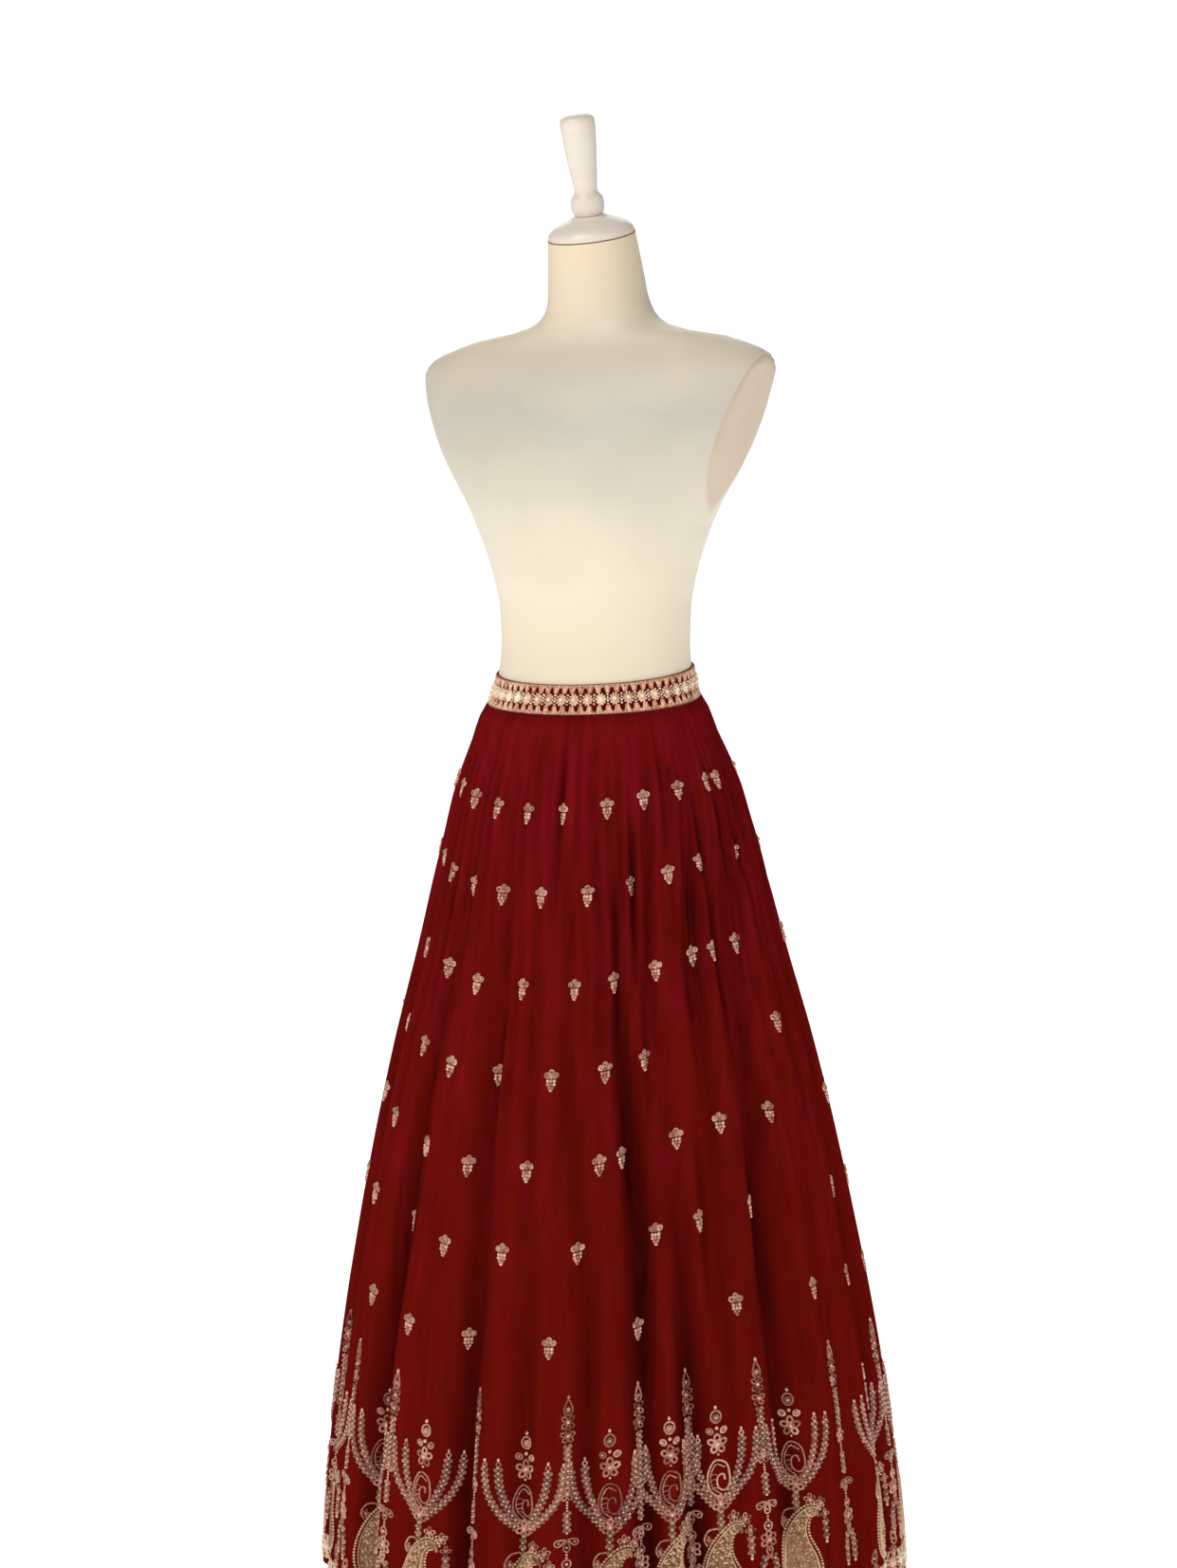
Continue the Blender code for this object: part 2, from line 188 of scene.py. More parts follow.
# height, half_width, mid, front, back in millimetres, tilt: the form's rings, bottom to top.
FORM_RINGS = np.array([
    (800, 150, 5, 102, 112, 0),
    (850, 158, 6, 106, 118, 0),
    (900, 156, 6, 104, 115, 0),
    (950, 150, 4, 103, 110, 0),
    (1000, 141, 2, 102, 104, 0),
    (1040, 130.5, 0, 101.5, 101.5, 0),
    (1080, 116.5, 0, 92.5, 91.5, 0),
    (1120, 112.5, 0, 88.5, 86, 0),
    (1160, 114, 0, 92.5, 86, 0),
    (1200, 121, 0, 105, 89, 0),
    (1240, 134, 0, 119, 95, 0),
    (1280, 153, 0, 127, 100.5, 0),
    (1320, 182, 0, 122, 104, 0),
    (1360, 210, 0, 108, 103, 0),
    (1400, 228, 0, 91, 96, 0),
    (1425, 231, 3, 79, 88, 0),
    (1445, 212, 6, 66, 76, 0),
    (1457, 184, 8, 58, 67, 0),
    (1467, 150, 9, 54, 61, 0),
    (1474, 106, 10, 52, 56.5, 0),
    (1483, 78, 10, 52, 54, 2),
    (1496, 64.5, 9, 53, 54, 4),
    (1512, 58, 6, 54, 54, 7),
    (1535, 55, 1, 53, 53, 10),
    (1560, 52, -5, 50.5, 50.5, 13),
    (1580, 49.7, -10, 47.8, 47.8, 16),
])
FORM_RINGS[:, :5] /= A_METRE

# drop, half_width, depth_share, back_shift: the skirt's outline, from the waist seam (0) to the hem (1).
SKIRT_RINGS = np.array([
    (0.0, 0.1375, 0.795, 0.000),
    (0.06, 0.160, 0.825, 0.002),
    (0.1, 0.171, 0.845, 0.004),
    (0.2, 0.1935, 0.880, 0.009),
    (0.3, 0.217, 0.910, 0.014),
    (0.4, 0.2437, 0.940, 0.019),
    (0.5, 0.267, 0.962, 0.025),
    (0.6, 0.2882, 0.980, 0.030),
    (0.7, 0.3075, 0.992, 0.035),
    (0.8, 0.323, 1.003, 0.040),
    (0.9, 0.3343, 1.014, 0.045),
    (1.0, 0.342, 1.024, 0.050),
])

# drop, lift: how much higher the cloth hangs at the sides and back than at the front.
SIDE_LIFT = np.array([(0.0, 0.025), (0.1, 0.034), (0.25, 0.044), (0.5, 0.044), (0.65, 0.036), (1.0, 0.030)])

# drop, depth in millimetres: a second fold between two main ones.
SECOND_DEPTH = np.array([(0.0, 0.7), (0.05, 2.4), (0.12, 4.5), (0.3, 5.0), (1.0, 5.0)])

# top, mid and low azimuth; depth in millimetres at a tenth, a quarter, 45% and 80% down; width.
FOLDS = np.array([
    (-2, 5, 9, 4, 6, 7, 12, 2.6),
    (9, 15.5, 22, 4, 6, 10, 14, 2.8),
    (21.5, 25, 28.5, 6, 10, 3, 1, 2.5),
    (33, 31, 34, 3, 6, 24, 22, 3.2),
    (43, 39, 38.5, 6, 7, 2, 0, 2.4),
    (47, 42.5, 43.5, 1, 5, 9, 26, 2.8),
    (54, 48.5, 48, 5, 4, 0, 0, 2.4),
    (64, 56, 52, 6, 16, 9, 5, 3.4),
    (74, 63.5, 57.5, 4, 5, 4, 2, 2.4),
    (85, 70, 64, 5, 9, 18, 20, 3.2),
    (93, 77, 71, 5, 9, 3, 2, 2.8),
    (101, 90, 81, 4, 6, 5, 7, 3.6),
    (110, 103, 97, 6, 9, 8, 12, 3.8),
    (122, 118, 113, 4, 6, 4, 4, 2.6),
    (133, 131, 128, 5, 10, 18, 24, 3.4),
    (146, 145, 143, 5, 7, 4, 5, 2.8),
    (158, 158, 157, 4, 10, 17, 28, 3.6),
    (170, 170, 171, 5, 6, 3, 3, 2.6),
    (182, 182, 182, 4, 9, 18, 24, 3.4),
    (194, 193, 192, 5, 8, 5, 5, 2.8),
    (207, 206, 204, 3, 9, 17, 28, 3.6),
    (219, 218, 216, 6, 6, 2, 2, 2.6),
    (232, 230, 228, 4, 10, 18, 25, 3.4),
    (244, 243, 241, 5, 8, 4, 4, 2.8),
    (257, 255, 253, 3, 9, 16, 28, 3.6),
    (268, 268, 266, 6, 6, 3, 2, 2.6),
    (281, 280, 279, 4, 9, 18, 23, 3.4),
    (292, 294, 292, 5, 8, 4, 6, 2.8),
    (304, 306, 307, 3, 9, 15, 27, 3.6),
    (315, 317, 318, 6, 7, 3, 2, 2.6),
    (327, 329, 330, 4, 10, 18, 25, 3.4),
    (337, 340, 343, 5, 4, 1, 3, 2.6),
    (348, 352, 356, 5, 9, 15, 22, 3.4),
])

# azimuth, lean, depth, width, first and last drop: narrow tucks between the folds.
TUCKS = np.array([
    (8.6, 0, 0.007, 1.2, -0.05, 0.28), (75.8, 0, 0.0066, 1.2, -0.05, 0.28),
    (36.0, 0, 0.0074, 1.2, 0.04, 0.36), (64.8, 0, 0.0076, 1.2, 0.04, 0.36),
    (29.6, 0, 0.008, 1.2, 0.13, 0.45), (63.6, 0, 0.0072, 1.2, 0.20, 0.46),
    (37.6, 0, 0.0084, 1.2, 0.24, 0.54), (51.5, 2, 0.005, 1.3, 0.22, 0.46),
    (49.0, 0, 0.008, 1.2, 0.42, 0.72), (63.8, 0, 0.0074, 1.2, 0.42, 0.72),
    (85.0, 2, 0.006, 1.5, 0.10, 0.36), (98, -3, 0.007, 1.3, 0.12, 0.40),
    (116, -2, 0.006, 1.4, 0.30, 0.62), (137, 1, 0.0075, 1.2, 0.08, 0.34),
    (152, 0, 0.007, 1.4, 0.26, 0.54), (174, 1, 0.0065, 1.2, 0.10, 0.38),
    (189, -1, 0.0075, 1.3, 0.30, 0.60), (213, -1, 0.007, 1.3, 0.06, 0.30),
    (226, -2, 0.0065, 1.4, 0.36, 0.66), (249, 0, 0.0075, 1.2, 0.14, 0.42),
    (263, -1, 0.007, 1.3, 0.40, 0.70), (287, 1, 0.007, 1.3, 0.08, 0.36),
    (299, 0, 0.0065, 1.4, 0.32, 0.60), (322, 1, 0.0075, 1.2, 0.12, 0.38),
    (334, 1, 0.0065, 1.3, 0.40, 0.68), (354, 2, 0.007, 1.3, 0.24, 0.52),
])

# front height, side rise, count round the hidden side, azimuths that show: one row of small motifs each.
BUTI_ROWS = (
    (0.933, 0.018, 15, (-5, 9.5, 27, 42, 57.6, 74.3, 81.2, 116)),
    (0.842, 0.010, 15, (-12, 3.5, 20, 35.2, 49, 63.2, 85, 118)),
    (0.742, 0.004, 14, (0, 16.5, 28.7, 42, 55.5, 62.3, 73, 112)),
    (0.646, 0.010, 15, (-6, 11.5, 26, 37, 82, 116)),
    (0.547, 0.014, 15, (6, 24.5, 30, 44, 56, 72, 107)),
    (0.459, 0.006, 16, (2, 19.5, 37.5, 47.9, 62.3, 95)),
    (0.362, 0.010, 16, (-6, 14, 33, 55, 77, 93)),
)

# Azimuths of the candelabra motifs: listed one by one where the camera looks, and even elsewhere.
BORDER_CENTRES = (
    9.5, 26.6, 38.5, 48.1, 66.4, 94, 112, 131, 149, 167, 185, 203, 221, 239, 257, 275, 293, 311, 329, 347,
)

# radius, height: the section of the dark ring of painted shade in the joint round the neck's top.
NECK_JOINT = ((0.0488, -0.0005), (0.0500, -0.0004), (0.0500, 0.0006), (0.0488, 0.0007))

# radius, height: turned outlines on the neck's axis, outer side from top to bottom.
CAP_OUTLINE = (
    (0.0, 0.0235), (0.0185, 0.0235), (0.0215, 0.0212), (0.031, 0.0178), (0.0405, 0.0135),
    (0.0462, 0.0088), (0.0488, 0.0045), (0.0492, 0.0), (0.0, 0.0),
)
FINIAL_OUTLINE = (
    (0.0, 0.113), (0.012, 0.1127), (0.0178, 0.1098), (0.0196, 0.104), (0.019, 0.089), (0.0168, 0.064),
    (0.0142, 0.040), (0.013, 0.0285), (0.014, 0.0245), (0.0176, 0.020), (0.0188, 0.0125),
    (0.018, 0.0055), (0.0158, 0.0), (0.0, 0.0),
)


# Curves and rings.

def curve(table, column, x):
    """A smooth curve through one column of a table, with no overshoot, read at x."""
    xs, ys = table[:, 0], table[:, column]
    x = np.clip(x, xs[0], xs[-1])
    slope = np.diff(ys) / np.diff(xs)
    product = slope[1:] * slope[:-1]
    total = slope[1:] + slope[:-1]
    inner = np.where(product > 0, 2 * product / np.where(total == 0, 1, total), 0)
    tangent = np.concatenate([slope[:1], inner, slope[-1:]])
    i = np.clip(np.searchsorted(xs, x, side="right") - 1, 0, len(xs) - 2)
    step = xs[i + 1] - xs[i]
    s = (x - xs[i]) / step
    return (
        ys[i] * (1 + 2 * s) * (1 - s) ** 2
        + ys[i + 1] * (3 - 2 * s) * s**2
        + step * (tangent[i] * s * (1 - s) ** 2 - tangent[i + 1] * (1 - s) * s**2)
    )


def ease(x):
    """0 below 0, 1 above 1, smooth between."""
    x = np.clip(x, 0, 1)
    return x * x * (3 - 2 * x)


def smooth_path(points, count):
    """Points spaced evenly along a smooth curve through the given ones."""
    points = np.asarray(points, float)
    padded = np.vstack([2 * points[0] - points[1], points, 2 * points[-1] - points[-2]])
    t = np.linspace(0, len(points) - 1.000001, 12 * len(points))
    i = t.astype(int)
    s = (t - i)[:, None]
    a, b, c, d = padded[i], padded[i + 1], padded[i + 2], padded[i + 3]
    bend = (2 * a - 5 * b + 4 * c - d) * s**2
    twist = (3 * b - a - 3 * c + d) * s**3
    dense = 0.5 * (2 * b + (c - a) * s + bend + twist)
    steps = np.linalg.norm(np.diff(dense, axis=0), axis=1)
    length = np.concatenate([[0], np.cumsum(steps)])
    at = np.linspace(0, length[-1], count)
    return np.stack([np.interp(at, length, dense[:, k]) for k in range(points.shape[1])], axis=-1)


def path_length(points):
    return float(np.linalg.norm(np.diff(np.asarray(points, float), axis=0), axis=1).sum())


def arm_plate(height):
    """How far from the middle the slanted plate of an arm lies at a height."""
    return ARM_PLATE_TOP - (ARM_PLATE_HEIGHT - height) * ARM_PLATE_SLANT


def form_point(azimuth, height, outward=0.0):
    """A point of the dress form's surface, moved level and outward; the height is its ring's."""
    a = np.radians(azimuth)
    half_width, mid, front, back, tilt = (curve(FORM_RINGS, c, height) for c in (1, 2, 3, 4, 5))
    x = half_width * np.sin(a)
    # A slanted plate closes each arm: the width stops at it, with a small rounding.
    plate = arm_plate(height)
    r = ARM_PLATE_ROUNDING
    stopped = -r * np.logaddexp(-np.abs(x) / r, -plate / r)
    x = np.where(height > ARM_PLATE_BOTTOM, np.sign(x) * stopped, x)
    y = mid - np.where(np.cos(a) > 0, front, back) * np.cos(a)
    z = height + np.tan(np.radians(tilt)) * (y - mid)
    return np.stack([x + outward * np.sin(a), y - outward * np.cos(a), z + 0 * x], axis=-1)


def band_height(azimuth, share):
    """The height of a line along the waistband: share 0 is the skirt seam, 1 the top edge."""
    return SEAM_FRONT_HEIGHT + BAND_HEIGHT * share + BAND_TILT * (1 - np.cos(np.radians(azimuth)))


def band_point(azimuth, share, outward):
    return form_point(azimuth, band_height(azimuth, share), outward)


# Folds of the cloth.

def fold_azimuths(drop):
    """Where each main fold lies at a drop."""
    top, mid, low = FOLDS[:, :3].T
    first, second, third = FOLD_DROPS
    to_mid = ease((drop - first) / (second - first))
    to_low = ease((drop - second) / (third - second))
    return top + (mid - top) * to_mid + (low - mid) * to_low


def fold_depths(drop):
    """How deep each main fold is at a drop, in metres."""
    waist = np.full((len(FOLDS), 1), WAIST_DEPTH)
    depths = np.hstack([waist, FOLDS[:, 3:7], FOLDS[:, 6:7] * HEM_DEEPER])
    step = min(int(np.searchsorted(DEPTH_DROPS, drop, side="right")) - 1, len(DEPTH_DROPS) - 2)
    share = (drop - DEPTH_DROPS[step]) / (DEPTH_DROPS[step + 1] - DEPTH_DROPS[step])
    return (depths[:, step] + (depths[:, step + 1] - depths[:, step]) * ease(share)) / A_METRE


def make_creases():
    """Fine creases: azimuth, lean, depth, width, and the drops where each starts and ends."""
    rng = np.random.default_rng(CREASE_SEED)
    gathered = np.arange(CREASES) < CREASES * 2 // 3
    azimuth = np.arange(CREASES) * 1.5 * 360 / CREASES % 360 + rng.uniform(-1.8, 1.8, CREASES)
    lean = rng.uniform(-3, 3, CREASES)
    depth = np.where(gathered, rng.uniform(0.0003, 0.0023, CREASES), rng.uniform(0.0008, 0.0030, CREASES))
    width = np.where(gathered, rng.uniform(0.6, 1.3, CREASES), rng.uniform(0.9, 1.9, CREASES))
    start = np.where(gathered, -0.2, rng.uniform(0.05, 0.5, CREASES))
    end = start + np.where(gathered, rng.uniform(0.35, 0.85, CREASES), rng.uniform(0.3, 0.6, CREASES))
    return np.hstack([np.stack([azimuth, lean, depth, width, start, end]), TUCKS.T])


def troughs(azimuth, drop, creases):
    """How far folds and creases press the cloth inwards at one drop."""
    lines = fold_azimuths(drop)
    between = lines + (np.roll(lines, -1) - lines) % 360 / 2
    # A second fold runs down from the gathers between each two main ones, and fades out.
    fades_from = SECOND_FADES_FROM + SECOND_VARIES * (np.arange(len(lines)) * SECOND_STEP % 1)
    second = curve(SECOND_DEPTH, 1, drop) / A_METRE * (1 - ease((drop - fades_from) / SECOND_FADE))
    where, lean, depth, width, start, end = creases
    fade_in = ease((drop - start) / CREASE_STARTS_OVER)
    fade = fade_in * (1 - ease((drop - end + CREASE_ENDS_OVER) / CREASE_ENDS_OVER))
    fine = depth * fade * min(1, CREASE_AT_WAIST + drop * CREASE_GROWS)
    inward = np.zeros_like(azimuth)
    for centres, depths, widths in (
        (lines, fold_depths(drop), FOLDS[:, 7]),
        (between, second, SECOND_WIDTH),
        (where + lean * drop, fine, width),
    ):
        away = (azimuth[:, None] - centres + 180) % 360 - 180
        inward += (depths * np.exp(-((away / widths) ** 2))).sum(axis=1)
    return inward


def skirt_points(azimuth, drop, creases):
    """Points of the cloth's outer side along one line round the skirt, and how deep each lies in a fold."""
    a = np.radians(azimuth)
    half_width, share, shift = (curve(SKIRT_RINGS, c, drop) for c in (1, 2, 3))
    inward = troughs(azimuth, drop, creases)
    # The gathers stand a little proud just under the waistband.
    puff = PUFF * ease(drop / PUFF_RISES) * (1 - ease((drop - PUFF_FADES_FROM) / PUFF_FADE))
    half_width = half_width + puff
    x = (half_width - inward) * np.sin(a)
    y = shift - (half_width * share - inward) * np.cos(a)
    # The top edge follows the waistband, and the difference fades out below it.
    seam = band_point(azimuth, 0.0, GAP + BAND_THICKNESS - TOP_TUCK)
    top_width, top_share = SKIRT_RINGS[0, 1:3]
    follow = 1 - ease(drop / WAIST_FADE)
    x += (seam[:, 0] - top_width * np.sin(a)) * follow
    y += (seam[:, 1] + top_width * top_share * np.cos(a)) * follow
    span = LIFT_SPAN_TOP + (LIFT_SPAN_LOW - LIFT_SPAN_TOP) * ease(drop / FOLD_DROPS[2])
    side = ease((np.abs((azimuth + 180) % 360 - 180) - LIFT_START) / span)
    settle = ease(drop / LIFT_FADE)
    lift = BAND_TILT * (1 - np.cos(a)) * (1 - settle) + curve(SIDE_LIFT, 1, drop) * side * settle
    z = SEAM_FRONT_HEIGHT - GAP + (HEM_FRONT_HEIGHT - SEAM_FRONT_HEIGHT) * drop + lift
    return np.stack([x, y, z], axis=-1), inward


# Meshes.

def placed(name, data):
    """A new object of the scene."""
    made = bpy.data.objects.new(name, data)
    bpy.context.scene.collection.objects.link(made)
    return made


def fit(piece, slot, *nodes):
    """Sets a piece on the part's one body and hides the solids that it replaces; its slot is not used."""
    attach(piece, "root")
    if nodes:
        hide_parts(*nodes)


def mesh_object(name, points, triangles, material, tints):
    """A smooth mesh object of triangles, with a tint for each point."""
    mesh = bpy.data.meshes.new(name)
    mesh.vertices.add(len(points))
    mesh.vertices.foreach_set("co", np.asarray(points, np.float32).ravel())
    mesh.loops.add(3 * len(triangles))
    mesh.loops.foreach_set("vertex_index", np.asarray(triangles, np.int32).ravel())
    mesh.polygons.add(len(triangles))
    mesh.polygons.foreach_set("loop_start", np.arange(0, 3 * len(triangles), 3, dtype=np.int32))
    mesh.update(calc_edges=True)
    mesh.shade_smooth()
    attribute = mesh.attributes.new("tint", "FLOAT", "POINT")
    attribute.data.foreach_set("value", np.asarray(tints, np.float32))
    mesh.materials.append(material)
    return placed(name, mesh)


def grid_triangles(rows, columns, closed_columns=False):
    """Triangles over a grid of points, row by row, with the right-hand side out for upward rows."""
    index = np.arange(rows * columns).reshape(rows, columns)
    right = np.roll(index, -1, axis=1) if closed_columns else index[:, 1:]
    left = index if closed_columns else index[:, :-1]
    a, b, c, d = left[:-1], right[:-1], right[1:], left[1:]
    quads = np.stack([a, b, c, d], axis=-1).reshape(-1, 4)
    return np.vstack([quads[:, [0, 1, 2]], quads[:, [0, 2, 3]]])


def turned(name, node, slot, outline, material, location, tilt=0.0):
    """A turned piece: an outline screwed round its own axis, which leans forward by tilt."""
    mesh = bpy.data.meshes.new(name)
    mesh.from_pydata([(r, 0, h) for r, h in outline], [(i, i + 1) for i in range(len(outline) - 1)], [])
    made = placed(name, mesh)
    screw = made.modifiers.new("turn", "SCREW")
    screw.steps = screw.render_steps = TURNED_STEPS
    screw.use_merge_vertices = True
    screw.merge_threshold = TURNED_MERGE
    screw.use_smooth_shade = True
    mesh.materials.append(material)
    made.location = location
    made.rotation_euler = (math.radians(tilt), 0, 0)
    fit(made, slot, node)


def rounded(outline):
    """The same outline with a smooth curve between its first and last straight lines."""
    inner = smooth_path(outline[1:-1], ROUNDED_STEPS * (len(outline) - 2))
    return [outline[0], *map(tuple, inner), outline[-1]]


# Surfaces that embroidery is laid on.

class Surface:
    """A fine grid over a tube of cloth: columns go round it by azimuth, and rows go down by a share."""

    def __init__(self, rows_of_points, azimuths, length):
        self.points = np.array(rows_of_points)
        self.azimuths = azimuths
        self.length = length
        steps = np.linalg.norm(np.diff(self.points, axis=1), axis=2)
        self.along = np.hstack([np.zeros((len(steps), 1)), np.cumsum(steps, axis=1)])
        normals = np.cross(np.gradient(self.points, axis=0), np.gradient(self.points, axis=1))
        self.normals = normals / np.linalg.norm(normals, axis=2, keepdims=True)

    def column(self, row, azimuth, across):
        """The column that lies some metres from an azimuth, measured along the cloth of one row."""
        along = self.along[row]
        start = np.interp(azimuth, self.azimuths, along)
        return np.interp(start + across, along, np.arange(len(along)))

    def place(self, azimuth, share, points):
        """Turns points of a flat layout, set at an azimuth and a share, into points in space."""
        across, up, out = points.T
        rows = np.clip((share - up / self.length) * (len(self.points) - 1), 0, len(self.points) - 1.001)
        low = rows.astype(int)
        columns = np.empty(len(points))
        for row in np.unique(low):
            here = low == row
            upper = self.column(row, azimuth[here], across[here])
            lower = self.column(row + 1, azimuth[here], across[here])
            columns[here] = upper + (lower - upper) * (rows[here] - row)
        left = np.clip(columns.astype(int), 0, self.points.shape[1] - 2)
        down = (rows - low)[:, None]
        side = (columns - left)[:, None]

        def blend(grid):
            upper = grid[low, left] * (1 - side) + grid[low, left + 1] * side
            lower = grid[low + 1, left] * (1 - side) + grid[low + 1, left + 1] * side
            return upper * (1 - down) + lower * down

        return blend(self.points) + blend(self.normals) * out[:, None]


def surface_azimuths():
    return np.arange(-SURFACE_MARGIN, 360 + SURFACE_MARGIN, SURFACE_STEP)


def skirt_surface(creases):
    azimuths = surface_azimuths()
    rows = [skirt_points(azimuths, drop, creases)[0] for drop in np.linspace(0, 1, SURFACE_ROWS)]
    front = int(SURFACE_MARGIN / SURFACE_STEP)
    return Surface(rows, azimuths, path_length([row[front] for row in rows]))


def band_surface(outward):
    azimuths = surface_azimuths()
    rows = [band_point(azimuths, share, outward) for share in np.linspace(1, 0, BAND_ROWS)]
    return Surface(rows, azimuths, BAND_HEIGHT)


# Raised stitches and beads, in a flat layout: across, up and out of the cloth, in millimetres.

def direction(degrees):
    way = math.radians(degrees)
    return math.cos(way), math.sin(way)


def unit_circle(sides):
    angles = np.linspace(0, 2 * np.pi, sides, endpoint=False)
    return np.stack([np.cos(angles), np.sin(angles)], axis=-1)


def unit_dome(sides):
    """A low dome of radius 1 and height 1."""
    circle = unit_circle(sides)
    rim = np.hstack([circle, np.full((sides, 1), -0.1)])
    shoulder = np.hstack([circle * 0.72, np.full((sides, 1), 0.7)])
    i = np.arange(sides)
    j = (i + 1) % sides
    top = np.full(sides, 2 * sides)
    triangles = np.vstack([
        np.stack([i, j, j + sides], axis=-1),
        np.stack([i, j + sides, i + sides], axis=-1),
        np.stack([i + sides, j + sides, top], axis=-1),
    ])
    return np.vstack([rim, shoulder, [[0, 0, 1]]]), triangles


def unit_loop(sides, wire):
    """A ring of radius 1 with a rounded edge, open in its middle."""
    circle = unit_circle(sides)
    lines = [(1 - 2 * wire, -0.1), (1 - wire, 1.0), (1.0, -0.1)]
    points = np.vstack([np.hstack([circle * r, np.full((sides, 1), h)]) for r, h in lines])
    triangles = grid_triangles(3, sides, closed_columns=True)[:, ::-1]
    return points, triangles


BEAD = unit_dome(6)
STONE = unit_dome(12)
LOOP = unit_loop(9, 0.29)
FINE_LOOP = unit_loop(14, 0.16)


class Stitches:
    """A layout of raised work that is built once and then laid on the cloth as often as it repeats."""

    def __init__(self):
        self.parts = []

    def stamp(self, shape, x, y, width, height, rise, turn=0.0, tint=0.6):
        """One unit shape, scaled to half its width and height, turned by degrees and moved."""
        points, triangles = shape
        c, s = direction(turn)
        across = points[:, 0] * width / 2
        up = points[:, 1] * height / 2
        moved = np.stack([x + across * c - up * s, y + across * s + up * c, points[:, 2] * rise], axis=-1)
        self.parts.append((moved, triangles, tint))

    def bead(self, x, y, width, tint, rise=BEAD_RISE, tall=None):
        self.stamp(BEAD, x, y, width, tall or width, rise, tint=tint)

    def ridge(self, path, widths, rise, tint=0.6):
        """A rounded ridge along a path, with a width for each of its points."""
        path = np.asarray(path)
        along = np.gradient(path, axis=0)
        normal = np.stack([-along[:, 1], along[:, 0]], axis=-1)
        normal /= np.linalg.norm(normal, axis=1, keepdims=True)
        widths = np.broadcast_to(widths, len(path))[:, None]
        height = rise * np.clip(widths / widths.max() * 1.5, 0, 1)
        lines = []
        for side, share in ((0.5, -0.1), (0.3, 0.75), (0.0, 1.0), (-0.3, 0.75), (-0.5, -0.1)):
            lines.append(np.hstack([path + normal * widths * side, height * share]))
        grid = np.stack(lines, axis=1)
        rows, columns = grid.shape[:2]
        self.parts.append((grid.reshape(-1, 3), grid_triangles(rows, columns)[:, ::-1], tint))

    def laid(self):
        """Points in metres, triangles, and the tint and the stitch's number of each point."""
        points, triangles, tints = zip(*self.parts)
        counts = [len(part) for part in points]
        firsts = np.cumsum([0, *counts])
        triangles = np.vstack([part + first for part, first in zip(triangles, firsts)])
        numbers = np.repeat(np.arange(len(counts)), counts)
        return np.vstack(points) / A_METRE, triangles, np.repeat(tints, counts), numbers


def along_path(path, pitch):
    """Places a pitch apart along a path, each with its direction in degrees."""
    dense = smooth_path(path, 60)
    count = max(2, round(path_length(dense) / pitch) + 1)
    places = smooth_path(dense, count)
    ways = np.gradient(places, axis=0)
    return zip(places[:, 0], places[:, 1], np.degrees(np.arctan2(ways[:, 1], ways[:, 0])))


def beads_along(work, path, pitch, size, tint=0.8):
    for x, y, _ in along_path(path, pitch):
        work.bead(x, y, size, tint, size * 0.55)


def floret_chain(work, path, pitch=6.6, size=5.8, tint=0.5):
    """A braid of small looped petals over a solid thread, with a bright bead at each pair."""
    work.ridge(smooth_path(path, 14), size * 1.2, 0.9, 0.22)
    for k, (x, y, way) in enumerate(along_path(path, pitch)):
        c, s = direction(way)
        for side in (-1, 1):
            px = x - s * side * size * 0.5
            py = y + c * side * size * 0.5
            work.stamp(LOOP, px, py, size, size * 0.74, 1.7, way + side * 38, tint - 0.15 * (k % 2))
            work.bead(px, py, size * 0.34, 0.8, 1.8)
        work.bead(x + c * size * 0.5, y + s * size * 0.5, 3.6, 1.0, 3)


def rosette(work, x, y, size, petals=5, turn=90.0, tint=0.55):
    """A ring of small loops round a bead."""
    for k in range(petals):
        way = turn + 360 * k / petals
        c, s = direction(way)
        work.stamp(LOOP, x + c * size * 0.3, y + s * size * 0.3, size * 0.46, size * 0.38, 1.4, way, tint)
    work.bead(x, y, size * 0.24, 1.0)


def teardrop(work, x, y, length, width, turn=90.0, tint=0.55):
    """A looped drop with a bead inside; it points along turn."""
    c, s = direction(turn)
    t = np.linspace(0, 2 * np.pi, 15)
    along = -np.cos(t) * length / 2
    side = np.sin(t) * width / 2 * (0.775 + 0.475 * np.cos(t))
    path = np.stack([x + along * c - side * s, y + along * s + side * c], axis=-1)
    work.ridge(path, 2.2, 1.8, tint)
    low_x, low_y = x - c * length * 0.14, y - s * length * 0.14
    work.bead(low_x, low_y, width * 0.34, 0.95, 2)


# Motifs.

def buti():
    """A small sprig: three round petals in a crown over a tapering drop of beads with a pink tip."""
    work = Stitches()
    for x, y, way in ((-4.8, 5.6, 160), (4.8, 5.6, 20), (0.0, 8.6, 90)):
        work.stamp(STONE, x, y, 7.4, 7, 1.6, way, 0.62)
        work.stamp(LOOP, x, y, 7.8, 7.2, 2.2, way, 0.68)
        work.bead(x * 1.05, y, 2.6, 0.5, 2.6)
    work.stamp(STONE, 0, 3.5, 5.2, 4.2, 2.6, tint=0.48)
    for row, (y, count) in enumerate(((-0.6, 3), (-4.2, 3), (-7.6, 2))):
        for k in range(count):
            x = (k - (count - 1) / 2) * 3.6
            work.bead(x, y, 4.2, 0.84 - 0.1 * row - 0.14 * (k % 2), tall=4.6)
    work.bead(0, -10.6, 4.6, 0.7, tall=4.2)
    return work


